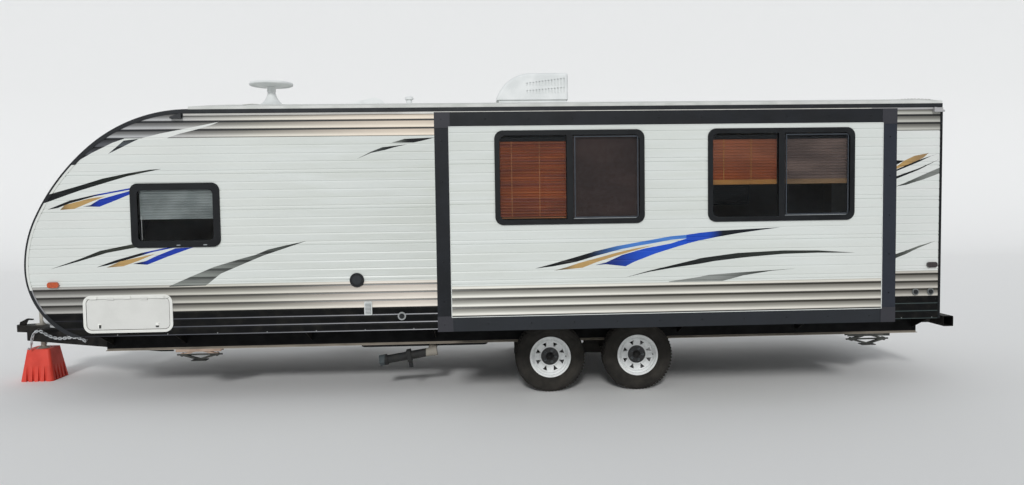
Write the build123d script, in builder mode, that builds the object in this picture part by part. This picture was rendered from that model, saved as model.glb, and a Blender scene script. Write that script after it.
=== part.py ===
from build123d import *
import os
from math import asin, cos, degrees, radians, sin, tan

os.makedirs("parts", exist_ok=True)

# Millimetres. X runs back from the hitch ball's centre, -Y is the road side, Z is up.
# Heights are given above the ground, and up() turns them into the model's Z.
ball_height = 530


def up(height):
    return height - ball_height


# Driving dimensions of the body
nose_x = 752               # foremost point of the nose
body_length = 8544
body_width = 2438
siding_bottom_height = 632
entry_bottom_height = 735
entry_height = 1800
entry_header = 155         # wall above the entry door
skin = 8                   # ribbed aluminium siding with its backing
wall_thickness = 38        # studs and panelling
floor_thickness = 70
roof_edge = 25             # membrane and decking above the wall
roof_crown = 120
roof_slope_length = 420    # where the crown falls to the nose

# Nose arcs, from the roof forward and down: radius, sweep in degrees
nose_arcs = [(1387, 40), (1966, 24), (1059, 26)]
chin_turn = 65.5           # sweep of the arc from the foremost point to the siding's foot

# Chassis
rail_inset = 185           # rail's middle in from the wheel's
rail_height = 203
rail_flange = 60
rail_steel = 6
rail_setback = 148         # rails' front behind the foot of the chin
cross_depth = 142
cross_width = 40
cross_steel = 5
cross_count = 7
beam_height = 152
beam_width = 50
beam_front_x = 90
beam_front_y = 75          # outer corner of each drawbar beam at its front
drawbar_angle = 25
beam_bottom_height = 420

# Running gear
axle_centre_x = 5950
axle_spacing = 838
wheel_inset = 134          # wheel's middle in from the body's side
tyre_radius = 331.5
tyre_width = 205
rim_radius = 195
rim_width = 150
axle_tube_radius = 30
spring_length = 600
spring_width = 45
leaf_thickness = 7
leaf_count = 4
arch_height = 730
arch_margin = 60           # fore and aft of the tyres
housing_skin = 3
wheel_room = 32            # between a tyre and its housing

# Slide-out room
slide_front_x = 4514       # fascia's front edge
slide_width = 3882
slide_bottom_height = 744
slide_header = 140         # between the slide-out's fascia and the top of the wall
slide_reach = 816
fascia_depth = 45
fascia_lap = 70            # fascia beyond the opening
fascia_band = 115
fascia_proud = 6
slide_clearance = 10
slide_wall = 35
slide_floor = 60
slide_inside = 75          # room's inner end behind the wall
inner_flange = 45
runner_inset = 300
seat_gap = 0.3

# Doors and their hinges
door_gap = 5
door_proud = 6
hinge_stand = 16           # hinge axis out from the siding
hinge_above = 2            # hinge axis beyond the door's edge
knuckle_radius = 7
knuckle_length = 60
hinge_pin_radius = 4
leaf_reach = 16

half_width = body_width / 2
wheel_y = half_width - wheel_inset
rail_y = wheel_y - rail_inset
housing_inner_y = wheel_y - tyre_width / 2 - wheel_room
wall_top_height = entry_bottom_height + entry_height + entry_header
slide_height = wall_top_height - slide_header - slide_bottom_height
wall_outer = half_width - skin
wall_inner = wall_outer - wall_thickness
rear_x = nose_x + body_length
rail_top_height = siding_bottom_height + 16
rail_bottom_height = rail_top_height - rail_height
floor_top_height = rail_top_height + floor_thickness
beam_top_height = beam_bottom_height + beam_height
axle_x = [axle_centre_x - axle_spacing / 2, axle_centre_x + axle_spacing / 2]

# The nose rises to the roof along its arcs, so its widest height and its depth follow from them
heading = 0
nose_rise = 0
nose_depth = 0
for arc_radius, arc_turn in nose_arcs:
    nose_rise += arc_radius * (cos(radians(heading)) - cos(radians(heading + arc_turn)))
    nose_depth += arc_radius * (sin(radians(heading + arc_turn)) - sin(radians(heading)))
    heading += arc_turn
roof_front_x = nose_x + nose_depth
widest_height = wall_top_height - nose_rise
chin_radius = (widest_height - siding_bottom_height) / sin(radians(chin_turn))
chin_foot_x = nose_x + chin_radius * (1 - cos(radians(chin_turn)))
rail_front_x = chin_foot_x + rail_setback

# Windows: side, centre X, drop from the wall's top to the centre, width, height, frame's width, divider
window_columns = ("side", "x", "drop", "w", "h", "frame", "divider")
windows = [dict(zip(window_columns, row)) for row in [
    (-1, 2110, 957, 800, 586, 62, False),
    (1, 2110, 957, 800, 586, 62, False),
    (1, 5300, 730, 900, 600, 42, True),
    (1, 7950, 730, 760, 500, 42, True),
]]
slide_windows = [dict(zip(window_columns, row)) for row in [
    (-1, 5626, 682, 1245, 777, 42, True),
    (-1, 7408, 682, 1252, 777, 42, True),
]]
for window in windows + slide_windows:
    window["height"] = wall_top_height - window["drop"]
window_corner = 70
window_lap = 28            # frame beyond its hole
window_proud = 10
divider_width = 52
glass_thickness = 4
sleeve = 2
blind_thickness = 12

# Entry door and cargo doors
entry_x = 3390
entry_width = 660
entry_corner = 60
cargo_behind_chin = 100    # cargo door's frame behind the foot of the chin
cargo_height = 839
cargo_width = 800
cargo_tall = 346
cargo_corner = 75
frame_width = 26
frame_proud = 8
cargo_x = chin_foot_x + cargo_behind_chin + cargo_width / 2

# Siding profile: grooves between the ribs, deeper at the seams between the sheets; the sheets of the
# lower band have their own pitch, and the slide-out's pattern stands a little higher
seam_drop = 255.3          # topmost seam below the wall's top
sheet_height = 330.9
sheet_count = 5
rib_pitch = 74.7
ribs_per_sheet = 4
band_height = 1068.5
band_pitch = 73.5
slide_lift = 22
rib_depth = 4
seam_depth = 6
groove_height = 16


# The side view, from the roof forward round the nose and back to the rear: the nose and the roof
# line are set in by inset, and the rear edge stands at rear
def side_outline(inset=0, rear=rear_x):
    top = up(wall_top_height) - inset
    chin = degrees(asin((widest_height - siding_bottom_height) / (chin_radius - inset)))
    with BuildSketch() as outline:
        with BuildLine():
            point, tangent = (roof_front_x, top), (-1, 0)
            for radius, turn in nose_arcs + [(chin_radius, chin)]:
                arc = JernArc(start=point, tangent=tangent, radius=radius - inset, arc_size=turn)
                point, tangent = arc @ 1, arc % 1
            Polyline(point, (rear, point.Y), (rear, top), (roof_front_x, top))
        make_face()
    return outline.sketch


# A plane along the trailer at a distance out from its centre: -1 is the road side, 1 the kerb side
def side_plane(side, distance):
    return Plane.XZ.offset(-side * distance)


# Extrudes the current sketch, drawn on side_plane(side, from_y), out to to_y
def to_side(side, from_y, to_y):
    extrude(amount=-side * (to_y - from_y))


def rounded(x, height, width, tall, corner, mode=Mode.ADD):
    with Locations((x, up(height))):
        RectangleRounded(width, tall, corner, mode=mode)


# The wheel opening in the siding, square at the bottom and rounded above
arch_length = axle_spacing + 2 * (tyre_radius + arch_margin)
arch_corner = 90


def arch_cut():
    low = up(siding_bottom_height) - 2 * arch_corner
    with Locations((axle_centre_x, (up(arch_height) + low) / 2)):
        RectangleRounded(arch_length, up(arch_height) - low, arch_corner, mode=Mode.SUBTRACT)


def opening(x, height, width, tall, corner):
    rounded(x, height, width, tall, corner, mode=Mode.SUBTRACT)


slide_centre_x = slide_front_x + slide_width / 2
slide_centre_height = slide_bottom_height + slide_height / 2
hole_width = slide_width - 2 * fascia_lap
hole_height = slide_height - 2 * fascia_lap
room_width = hole_width - 2 * slide_clearance
room_height = hole_height - 2 * slide_clearance


# Every hole of one side wall
def wall_holes(side):
    arch_cut()
    for window in windows:
        if window["side"] == side:
            opening(window["x"], window["height"], window["w"] - 2 * window_lap,
                    window["h"] - 2 * window_lap, window_corner - window_lap)
    opening(cargo_x, cargo_height, cargo_width - 2 * frame_width, cargo_tall - 2 * frame_width,
            cargo_corner - frame_width)
    if side > 0:
        opening(entry_x, entry_bottom_height + entry_height / 2, entry_width + 2 * door_gap,
                entry_height + 2 * door_gap, entry_corner + door_gap)
    else:
        with Locations((slide_centre_x, up(slide_centre_height))):
            Rectangle(hole_width, hole_height, mode=Mode.SUBTRACT)


# Heights and depths of the grooves between two heights
def groove_rows(lift, low, high):
    band_top = band_height + lift
    seams = [wall_top_height - seam_drop + lift - sheet_height * i for i in range(sheet_count)]
    rows = [(seam, seam_depth) for seam in seams if seam > band_top]
    rows += [(seam - rib_pitch * i, rib_depth) for seam in seams for i in range(1, ribs_per_sheet + 1)
             if seam - rib_pitch * i > band_top + groove_height]
    rows += [(seams[0] + rib_pitch * i, rib_depth) for i in (1, 2)]
    rows += [(band_top - band_pitch * i, rib_depth) for i in range(ribs_per_sheet + 3)]
    return [row for row in rows if low + groove_height < row[0] < high - groove_height]


# The grooves as solids to cut away: the plane's X points out of the face and its Y points up
def groove_solids(face, rows, length):
    with BuildPart() as cuts:
        with BuildSketch(face):
            for height, depth in rows:
                with BuildLine():
                    Polyline((1, up(height) + groove_height / 4), (0, up(height) + groove_height / 4),
                             (-depth, up(height)), (0, up(height) - groove_height * 3 / 4),
                             (1, up(height) - groove_height * 3 / 4), close=True)
                make_face()
        extrude(amount=length)
    return cuts.part


# Planes that look along a side or across the rear, for the grooves
def along_side(side, distance, x):
    start = x if side > 0 else x + 2 * body_length
    return Plane(origin=(start, side * distance, 0), x_dir=(0, side, 0), z_dir=(side, 0, 0))


# Side walls, full height from the nose to the rear
with BuildPart() as road_wall:
    with BuildSketch(side_plane(-1, wall_inner)):
        add(side_outline())
        wall_holes(-1)
    to_side(-1, wall_inner, wall_outer)

with BuildPart() as kerb_wall:
    with BuildSketch(side_plane(1, wall_inner)):
        add(side_outline())
        wall_holes(1)
    to_side(1, wall_inner, wall_outer)

# Siding skins on the side walls and on the rear
with BuildPart() as body_siding:
    for side in (-1, 1):
        with BuildSketch(side_plane(side, wall_outer)):
            add(side_outline())
            wall_holes(side)
        to_side(side, wall_outer, half_width)
    with BuildSketch(Plane.YZ.offset(rear_x - skin)):
        low, high = up(siding_bottom_height), up(wall_top_height)
        with Locations((0, (low + high) / 2)):
            Rectangle(2 * wall_inner, high - low)
    extrude(amount=skin)
    body_grooves = groove_rows(0, siding_bottom_height, wall_top_height)
    for side in (-1, 1):
        add(groove_solids(along_side(side, half_width, 0), body_grooves, 2 * body_length), mode=Mode.SUBTRACT)
    rear_face = Plane(origin=(rear_x, half_width, 0), x_dir=(1, 0, 0), z_dir=(0, -1, 0))
    add(groove_solids(rear_face, body_grooves, body_width), mode=Mode.SUBTRACT)

# A place on the nose's outline, a distance down it from the roof: the point and the way out of the skin
def nose_place(distance):
    x, z, heading = roof_front_x, up(wall_top_height), 0
    for radius, turn in nose_arcs + [(chin_radius, chin_turn)]:
        turned = min(radians(turn), distance / radius)
        x -= radius * (sin(heading + turned) - sin(heading))
        z -= radius * (cos(heading) - cos(heading + turned))
        heading += turned
        distance -= radius * turned
    return Vector(x, z), Vector(-sin(heading), cos(heading))


# Curved front wall between the side walls, down to the floor, ribbed like the sides
nose_wall_thickness = wall_thickness + skin
nose_run = sum(radius * radians(turn) for radius, turn in nose_arcs + [(chin_radius, chin_turn)])
nose_ribs = int(nose_run / rib_pitch)
nose_rib_pitch = nose_run / nose_ribs
with BuildPart() as nose_wall:
    with BuildSketch(Plane.XZ.offset(-wall_inner)):
        add(side_outline())
        add(side_outline(nose_wall_thickness, 2 * rear_x), mode=Mode.SUBTRACT)
        with Locations((roof_front_x, 0)):
            Rectangle(2 * body_length, 4 * wall_top_height, align=(Align.MIN, Align.CENTER), mode=Mode.SUBTRACT)
    extrude(amount=2 * wall_inner)
    with BuildSketch(Plane.XZ.offset(-wall_inner)):
        for i in range(1, nose_ribs):
            point, out = nose_place(i * nose_rib_pitch)
            down = Vector(-out.Y, out.X)
            with BuildLine():
                Polyline(point + out - down * groove_height / 4, point - down * groove_height / 4,
                         point - out * rib_depth, point + down * groove_height * 3 / 4,
                         point + out + down * groove_height * 3 / 4, close=True)
            make_face()
    extrude(amount=2 * wall_inner, mode=Mode.SUBTRACT)

# Rear wall between the side walls
rear_wall_x = rear_x - skin - wall_thickness
with BuildPart() as rear_wall:
    with BuildSketch(Plane.YZ.offset(rear_wall_x)):
        low, high = up(rail_top_height), up(wall_top_height)
        with Locations((0, (low + high) / 2)):
            Rectangle(2 * wall_inner, high - low)
    extrude(amount=wall_thickness)

# Floor between the walls, cut away round the wheels, with runners that carry the slide-out room
housing_length = arch_length - 2 * housing_skin
runner_width = 160
runner_depth = 65
runner_y = wall_inner - slide_inside / 2
room_bottom = up(slide_centre_height) - room_height / 2
room_top = room_bottom + room_height
with BuildPart() as floor:
    with BuildSketch(Plane.XZ.offset(-wall_inner)):
        add(side_outline(nose_wall_thickness, rear_wall_x))
        with Locations((0, up(rail_top_height))):
            Rectangle(rear_x, floor_thickness, align=Align.MIN, mode=Mode.INTERSECT)
    extrude(amount=2 * wall_inner)
    with BuildSketch(Plane.XY.offset(up(rail_top_height))):
        with Locations(*[(axle_centre_x, side * wall_inner) for side in (-1, 1)]):
            Rectangle(arch_length, 2 * (wall_inner - housing_inner_y))
    extrude(amount=floor_thickness, mode=Mode.SUBTRACT)
    with BuildSketch(Plane.XY.offset(up(floor_top_height))):
        runner_offset = slide_width / 2 - runner_inset
        with Locations(*[(slide_centre_x + way * runner_offset, -runner_y) for way in (-1, 1)]):
            Rectangle(runner_width, runner_depth)
    extrude(amount=room_bottom - seat_gap - up(floor_top_height))

# Crowned roof over the walls, falling to the nose in front
with BuildPart() as roof:
    with BuildSketch(Plane.YZ.offset(roof_front_x)):
        base = up(wall_top_height)
        with BuildLine():
            Polyline((-half_width, base + roof_edge), (-half_width, base), (half_width, base),
                     (half_width, base + roof_edge))
            ThreePointArc((half_width, base + roof_edge), (0, base + roof_edge + roof_crown),
                          (-half_width, base + roof_edge))
        make_face()
    extrude(amount=rear_x - roof_front_x)
    with BuildSketch(Plane.XZ.offset(-body_width)):
        with BuildLine():
            high = base + roof_edge + roof_crown
            Polyline((roof_front_x, base + roof_edge), (roof_front_x + roof_slope_length, high + 1),
                     (roof_front_x, high + 1), close=True)
        make_face()
    extrude(amount=2 * body_width, mode=Mode.SUBTRACT)

# Black edge trim: a flange on each side that follows the outline, and a lip over the nose
trim_face = 34
trim_stand = 4
lip_reach = 25
lip_thickness = 3
with BuildPart() as edge_trim:
    for side in (-1, 1):
        with BuildSketch(side_plane(side, half_width)):
            add(side_outline())
            add(side_outline(trim_face, 2 * rear_x), mode=Mode.SUBTRACT)
        to_side(side, half_width, half_width + trim_stand)
        with BuildSketch(side_plane(side, half_width - lip_reach)):
            add(side_outline(-lip_thickness))
            add(side_outline(0, 2 * rear_x), mode=Mode.SUBTRACT)
            with Locations((roof_front_x, 0)):
                Rectangle(2 * body_length, 4 * wall_top_height, align=(Align.MIN, Align.CENTER), mode=Mode.SUBTRACT)
        to_side(side, half_width - lip_reach, half_width + trim_stand)

# Drip rails under the trim, with a spout at each end
drip_height = 18
drip_stand = 14
drip_gap = 6
spout_length = 100
spout_drop = 44
spout_stand = 40
drip_front_x = roof_front_x - 52
with BuildPart() as drip_rails:
    for side in (-1, 1):
        top = up(wall_top_height) - trim_face - drip_gap
        with BuildSketch(side_plane(side, half_width)):
            with Locations(((drip_front_x + rear_x) / 2, top - drip_height / 2)):
                Rectangle(rear_x - drip_front_x, drip_height)
        to_side(side, half_width, half_width + drip_stand)
        with BuildSketch(side_plane(side, half_width)):
            for end, way in ((drip_front_x, -1), (rear_x - spout_length, 1)):
                with BuildLine():
                    Polyline((end, top), (end, top - spout_drop), (end + way * spout_length, top - spout_drop),
                             (end + way * spout_length, top - spout_drop + 16), (end + way * 14, top), close=True)
                make_face()
        to_side(side, half_width, half_width + spout_stand)

# Wheel housing: a tray over each pair of wheels
housing_rise = 30          # housing's top above the arch
def wheel_housing(side):
    with BuildPart() as housing:
        with BuildSketch(Plane.XY.offset(up(siding_bottom_height))):
            with Locations((axle_centre_x, side * (wall_inner + housing_inner_y) / 2)):
                Rectangle(housing_length + 2 * housing_skin, wall_inner - housing_inner_y)
        extrude(amount=arch_height + housing_rise - siding_bottom_height)
        with BuildSketch(Plane.XY.offset(up(siding_bottom_height))):
            with Locations((axle_centre_x, side * (wall_inner + housing_inner_y + housing_skin) / 2)):
                Rectangle(housing_length, wall_inner - housing_inner_y - housing_skin)
        extrude(amount=arch_height + housing_rise - housing_skin - siding_bottom_height, mode=Mode.SUBTRACT)
    return housing.part



# Chassis rails, two I-beams
with BuildPart() as chassis_rails:
    with BuildSketch(Plane.YZ.offset(rail_front_x)):
        middle = up(rail_top_height) - rail_height / 2
        with Locations(*[(side * rail_y, middle) for side in (-1, 1)]):
            Rectangle(rail_flange, rail_height)
        web_gap = (rail_flange - rail_steel) / 2
        offsets = [side * rail_y + way * (rail_steel + web_gap) / 2 for side in (-1, 1) for way in (-1, 1)]
        with Locations(*[(y, middle) for y in offsets]):
            Rectangle(web_gap, rail_height - 2 * rail_steel, mode=Mode.SUBTRACT)
    extrude(amount=rear_wall_x - rail_front_x)

# Cross members between the rails, and outriggers that carry the side walls
web_face = rail_y - rail_steel / 2
outrigger_steel = 6
outrigger_reach = wall_inner - 5
outrigger_tip = 30
outrigger_root = 150
clear_of_wheels = arch_length / 2 + 40
beam_end_x = beam_front_x + (rail_y - rail_flange / 2 - beam_front_y) / tan(radians(drawbar_angle))
cross_front_x = beam_end_x + 250
cross_pitch = (rear_wall_x - cross_width - cross_front_x) / (cross_count - 1)
cross_stations = [cross_front_x + cross_pitch * i for i in range(cross_count)]
header_height = rail_top_height - rail_steel - beam_top_height
with BuildPart() as cross_members:
    top = up(rail_top_height) - rail_steel
    for x in cross_stations:
        with BuildSketch(Plane.XZ.offset(-web_face)):
            with Locations((x, top - cross_depth / 2)):
                Rectangle(cross_width, cross_depth)
            with Locations((x + cross_steel, top - cross_depth / 2)):
                Rectangle(cross_width, cross_depth - 2 * cross_steel, mode=Mode.SUBTRACT)
        extrude(amount=2 * web_face)
    for x in (rail_front_x + cross_width / 2, beam_end_x - 100):
        with BuildSketch(Plane.XZ.offset(-web_face)):
            with Locations((x, top - header_height / 2)):
                Rectangle(cross_width, header_height)
            with Locations((x + cross_steel, top - header_height / 2)):
                Rectangle(cross_width, header_height - 2 * cross_steel, mode=Mode.SUBTRACT)
        extrude(amount=2 * web_face)

    for side in (-1, 1):
        for x in [rail_front_x + 60] + cross_stations:
            if abs(x - axle_centre_x) > clear_of_wheels:
                with BuildSketch(Plane.YZ.offset(x)):
                    with BuildLine():
                        edge = rail_y + rail_flange / 2
                        top = up(rail_top_height)
                        root = side * (rail_y + rail_steel / 2)
                        Polyline((root, top - rail_steel), (side * edge, top - rail_steel), (side * edge, top),
                                 (side * outrigger_reach, top), (side * outrigger_reach, top - outrigger_tip),
                                 (root, top - outrigger_root), close=True)
                    make_face()
                extrude(amount=outrigger_steel)

# Drawbar: two beams that splay from the coupler to the rails, with trays for the bottles and the battery
bottle_x = 490
battery_x = 760
tray_thickness = 8
trays = [(bottle_x, 320, 660), (battery_x, 190, 700)]
splay = tan(radians(drawbar_angle))
beam_cut = beam_width / cos(radians(drawbar_angle))
rail_inner_edge = rail_y - rail_flange / 2
with BuildPart() as drawbar:
    for side in (-1, 1):
        with BuildSketch(Plane.XY.offset(up(beam_bottom_height))):
            with BuildLine():
                outer_end = beam_front_x + (rail_inner_edge - beam_front_y) / splay
                inner_end = beam_front_x + (rail_inner_edge - beam_front_y + beam_cut) / splay
                Polyline((beam_front_x, side * beam_front_y), (outer_end, side * rail_inner_edge),
                         (inner_end, side * rail_inner_edge), (beam_front_x, side * (beam_front_y - beam_cut)),
                         close=True)
            make_face()
        extrude(amount=beam_height)
    with BuildSketch(Plane.XY.offset(up(beam_top_height))):
        for tray_x, tray_length, tray_width in trays:
            with Locations((tray_x, 0)):
                RectangleRounded(tray_length, tray_width, 12)
    extrude(amount=tray_thickness)

# Coupler: a ball socket, the wings that close the drawbar, the plate for the jack and the latch
socket_radius = 30.2
coupler_radius = 47
socket_wall = 28           # straight wall of the socket, from its mouth past the ball's centre
coupler_bottom_height = ball_height - 22
jack_x = 215
jack_tube_radius = 28.5
plate_thickness = 8
plate_rear_x = 330
plate_rear_y = beam_front_y + (plate_rear_x - beam_front_x) * splay
with BuildPart() as coupler:
    with BuildSketch(Plane.XY.offset(up(coupler_bottom_height))):
        Circle(coupler_radius)
        with BuildLine():
            Polyline((0, -coupler_radius), (beam_front_x, -beam_front_y), (beam_front_x, beam_front_y),
                     (0, coupler_radius), close=True)
        make_face()
    extrude(amount=beam_top_height - coupler_bottom_height)
    with BuildSketch(Plane.XY.offset(up(beam_top_height))):
        with BuildLine():
            Polyline((0, -coupler_radius), (beam_front_x, -beam_front_y), (plate_rear_x, -plate_rear_y),
                     (plate_rear_x, plate_rear_y), (beam_front_x, beam_front_y), (0, coupler_radius), close=True)
        make_face()
        Circle(coupler_radius)
        with Locations((jack_x, 0)):
            Circle(jack_tube_radius + seat_gap, mode=Mode.SUBTRACT)
    extrude(amount=plate_thickness)
    with BuildSketch(Plane.XY.offset(up(coupler_bottom_height))):
        Circle(socket_radius)
    extrude(amount=socket_wall, mode=Mode.SUBTRACT)
    Sphere(socket_radius, mode=Mode.SUBTRACT)
    with BuildSketch(Plane.XZ.offset(-14)):
        with BuildLine():
            latch_foot = up(beam_top_height) + plate_thickness
            Polyline((-20, latch_foot), (-12, latch_foot + 30), (60, latch_foot + 66), (118, latch_foot + 60),
                     (118, latch_foot + 48), (66, latch_foot + 50), (40, latch_foot), close=True)
        make_face()
    extrude(amount=28)

# Safety chains: from an eye on each drawbar beam, held slack along it, over the coupler's side, the hook hanging
chain_wire = 8
link_length = 52
link_width = 30
link_cut = 9
link_slack = 0.9
link_pitch = link_length - 2 * chain_wire - link_slack
hook_length = 70
hook_width = 46
hook_eye_radius = 7.5
hook_reach = link_length / 2 - chain_wire + hook_eye_radius - link_slack
# Chain's way: back from the ball, out from the drawbar beam's outer face, height
chain_way = [(895, 34, 470), (740, 36, 500), (560, 36, 478), (380, 36, 512), (285, 40, 540), (222, 42, 512),
             (190, 42, 450), (176, 42, 395)]
pin_radius = 6.2
pin_cap = 9                # pin beyond its link
front_pin_x = 275
def beam_outer_y(x):
    return beam_front_y + (x - beam_front_x) * splay


# One link, its length along X, with the middle at the origin
def chain_link():
    with BuildPart() as link:
        with BuildSketch() as flat:
            Rectangle(link_length, link_width)
            chamfer(flat.vertices(), link_cut)
            Rectangle(link_length - 2 * chain_wire, link_width - 2 * chain_wire, mode=Mode.SUBTRACT)
        extrude(amount=chain_wire / 2, both=True)
    return link.part


# The hook, its eye at the origin and its point down X
def chain_hook():
    with BuildPart() as hook:
        with BuildSketch():
            Circle(14)
            with BuildLine():
                Polyline((0, -7), (hook_length - 26, -9), (hook_length - 8, -4), (hook_length, 12),
                         (hook_length - 8, hook_width - 18), (hook_length - 26, hook_width - 14),
                         (hook_length - 30, hook_width - 24), (hook_length - 16, 12), (hook_length - 28, 5), (0, 7),
                         close=True)
            make_face()
            Circle(hook_eye_radius, mode=Mode.SUBTRACT)
        extrude(amount=5, both=True)
    return hook.part


# A pin through a link, from the drawbar beam's outer face
def chain_pin(seat, side):
    out_of_beam = Vector(-sin(radians(drawbar_angle)), side * cos(radians(drawbar_angle)), 0)
    on_beam = Vector(seat.origin.X, side * beam_outer_y(seat.origin.X), seat.origin.Z)
    reach = (seat.origin - on_beam).dot(out_of_beam) / seat.z_dir.dot(out_of_beam)
    way = 1 if reach > 0 else -1
    with BuildPart() as pin:
        with BuildSketch(seat.offset(-reach + way * seat_gap)):
            Circle(pin_radius)
        extrude(amount=reach - way * seat_gap + way * pin_cap)
    return pin.part


link_shape = chain_link()
hook_shape = chain_hook()
chain_parts = []
for side in (-1, 1):
    way = Spline(*[(x, side * (beam_outer_y(x) + out), up(height)) for x, out, height in chain_way])
    front_pin = None
    for i in range(int(way.length / link_pitch)):
        share = (i + 0.5) * link_pitch / way.length
        here, along = way @ share, way % share
        seat = Plane(origin=here, x_dir=along, z_dir=Vector(-along.Y, along.X, 0).normalized())
        if i == 0 or (front_pin is None and i % 2 == 0 and here.X < front_pin_x + link_pitch):
            chain_parts.append(chain_pin(seat, side))
            front_pin = None if i == 0 else i
        turned = seat * Location((0, 0, 0), (90 * (i % 2), 0, 0))
        chain_parts.append(link_shape.moved(turned))
    chain_parts.append(hook_shape.moved(turned * Location((hook_reach, 0, 0), (90, 0, 0))))
safety_chains = Compound(children=chain_parts)

# Tongue jack: outer tube on the coupler's plate, inner leg, foot and crank
block_height = 332
foot_radius = 70
foot_sink = 12             # the block's recess for the foot
foot_thickness = 8
leg_radius = 25
with BuildPart() as tongue_jack:
    with BuildSketch(Plane.XZ):
        with BuildLine():
            foot = up(block_height) - foot_sink
            flange = up(beam_top_height) + plate_thickness
            crown = up(1080)
            Polyline((0, foot), (foot_radius, foot), (foot_radius, foot + foot_thickness), (leg_radius, foot + foot_thickness + 25),
                     (leg_radius, up(430)), (jack_tube_radius, up(430)), (jack_tube_radius, flange),
                     (65, flange), (65, flange + 10), (jack_tube_radius, flange + 10),
                     (jack_tube_radius, crown - 70), (38, crown - 60), (38, crown), (0, crown), close=True)
        make_face()
    revolve(axis=Axis.Z)
    with BuildSketch(Plane.XZ.offset(-8)):
        with BuildLine():
            Polyline((0, crown), (16, crown), (16, crown + 14), (150, crown + 14), (150, crown + 120),
                     (134, crown + 120), (134, crown + 30), (0, crown + 30), close=True)
        make_face()
    extrude(amount=16)
tongue_jack.part.position = (jack_x, 0, 0)

# Red plastic jack block, a hollow truncated pyramid
block_base = 340
block_top = 235
rib_spacing = 60
rib_notch = 26
with BuildPart() as jack_block:
    with BuildSketch(Plane.XY.offset(up(0))):
        with Locations((jack_x, 0)):
            RectangleRounded(block_base, block_base, 40)
    with BuildSketch(Plane.XY.offset(up(block_height))):
        with Locations((jack_x, 0)):
            RectangleRounded(block_top, block_top, 28)
    loft()
    with BuildSketch(Plane.XY.offset(up(block_height))):
        with Locations((jack_x, 0)):
            Circle(foot_radius + 3)
    extrude(amount=-foot_sink, mode=Mode.SUBTRACT)
    with BuildSketch(Plane.XY.offset(up(0))):
        with Locations((jack_x, 0)):
            for turn in (0, 90):
                with Locations(Location((0, 0, 0), turn)):
                    with GridLocations(block_base, rib_spacing, 2, 4):
                        Rectangle(2 * rib_notch, rib_notch)
    extrude(amount=block_height - 2 * foot_sink, mode=Mode.SUBTRACT)

# Axles: tube, spindles, brake plates, and the U-bolts and plates that clamp the springs
spindle_radius = 22
brake_radius = 128
brake_steel = 6
drum_reach = 70            # drum's open edge in from the wheel's middle
drum_gap = 2
plate_y = wheel_y - drum_reach - drum_gap - brake_steel
u_bolt_radius = 5
u_bolt_gap = 2
u_bolt_bite = 0.5          # how far a U-bolt presses into the tube
with BuildPart() as axles:
    for x in axle_x:
        hub_z = up(tyre_radius)
        with BuildSketch(Plane.XZ.offset(-plate_y)):
            with Locations((x, hub_z)):
                Circle(axle_tube_radius)
        extrude(amount=2 * plate_y)
        for side in (-1, 1):
            with BuildSketch(side_plane(side, plate_y)):
                with Locations((x, hub_z)):
                    Circle(brake_radius)
            to_side(side, plate_y, plate_y + brake_steel)
            with BuildSketch(side_plane(side, plate_y)):
                with Locations((x, hub_z)):
                    Circle(spindle_radius)
            to_side(side, plate_y, wheel_y)
            stack_z = hub_z - axle_tube_radius - leaf_thickness * leaf_count - seat_gap
            bend = axle_tube_radius + u_bolt_radius - u_bolt_bite
            for way in (-1, 1):
                bolt_y = rail_y + way * (spring_width / 2 + u_bolt_gap + u_bolt_radius)
                with BuildLine(side_plane(side, bolt_y)):
                    Line((x - bend, stack_z - 20), (x - bend, hub_z))
                    ThreePointArc((x - bend, hub_z), (x, hub_z + bend), (x + bend, hub_z))
                    Line((x + bend, hub_z), (x + bend, stack_z - 20))
                with BuildSketch(Plane.XY.offset(stack_z - 20)):
                    with Locations((x - bend, side * bolt_y)):
                        Circle(u_bolt_radius)
                sweep()
            with BuildSketch(Plane.XY.offset(stack_z)):
                with Locations((x, side * rail_y)):
                    RectangleRounded(2 * bend + 30, spring_width + 36, 8)
            extrude(amount=-8)

# Leaf springs under the axle tubes, each leaf shorter than the one above, with an eye at each end
spring_top_z = up(tyre_radius) - axle_tube_radius
spring_rise = 42
leaf_step = 0.2
eye_radius = 16
eye_z = spring_top_z + spring_rise
bolt_radius = 7
hanger_steel = 8
with BuildPart() as springs:
    for side in (-1, 1):
        for x in axle_x:
            with BuildSketch(side_plane(side, rail_y - spring_width / 2)):
                for leaf in range(leaf_count):
                    share = 1 - leaf_step * leaf
                    reach = spring_length / 2 * share
                    high = spring_top_z - leaf_thickness * leaf
                    rise = spring_rise * share ** 2
                    with BuildLine():
                        ThreePointArc((x - reach, high + rise), (x, high), (x + reach, high + rise))
                        Line((x + reach, high + rise), (x + reach, high + rise - leaf_thickness))
                        ThreePointArc((x + reach, high + rise - leaf_thickness), (x, high - leaf_thickness),
                                      (x - reach, high + rise - leaf_thickness))
                        Line((x - reach, high + rise - leaf_thickness), (x - reach, high + rise))
                    make_face()
                with Locations(*[(x + way * spring_length / 2, eye_z) for way in (-1, 1)]):
                    Circle(eye_radius)
                    Circle(bolt_radius + seat_gap, mode=Mode.SUBTRACT)
            to_side(side, rail_y - spring_width / 2, rail_y + spring_width / 2)

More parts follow.
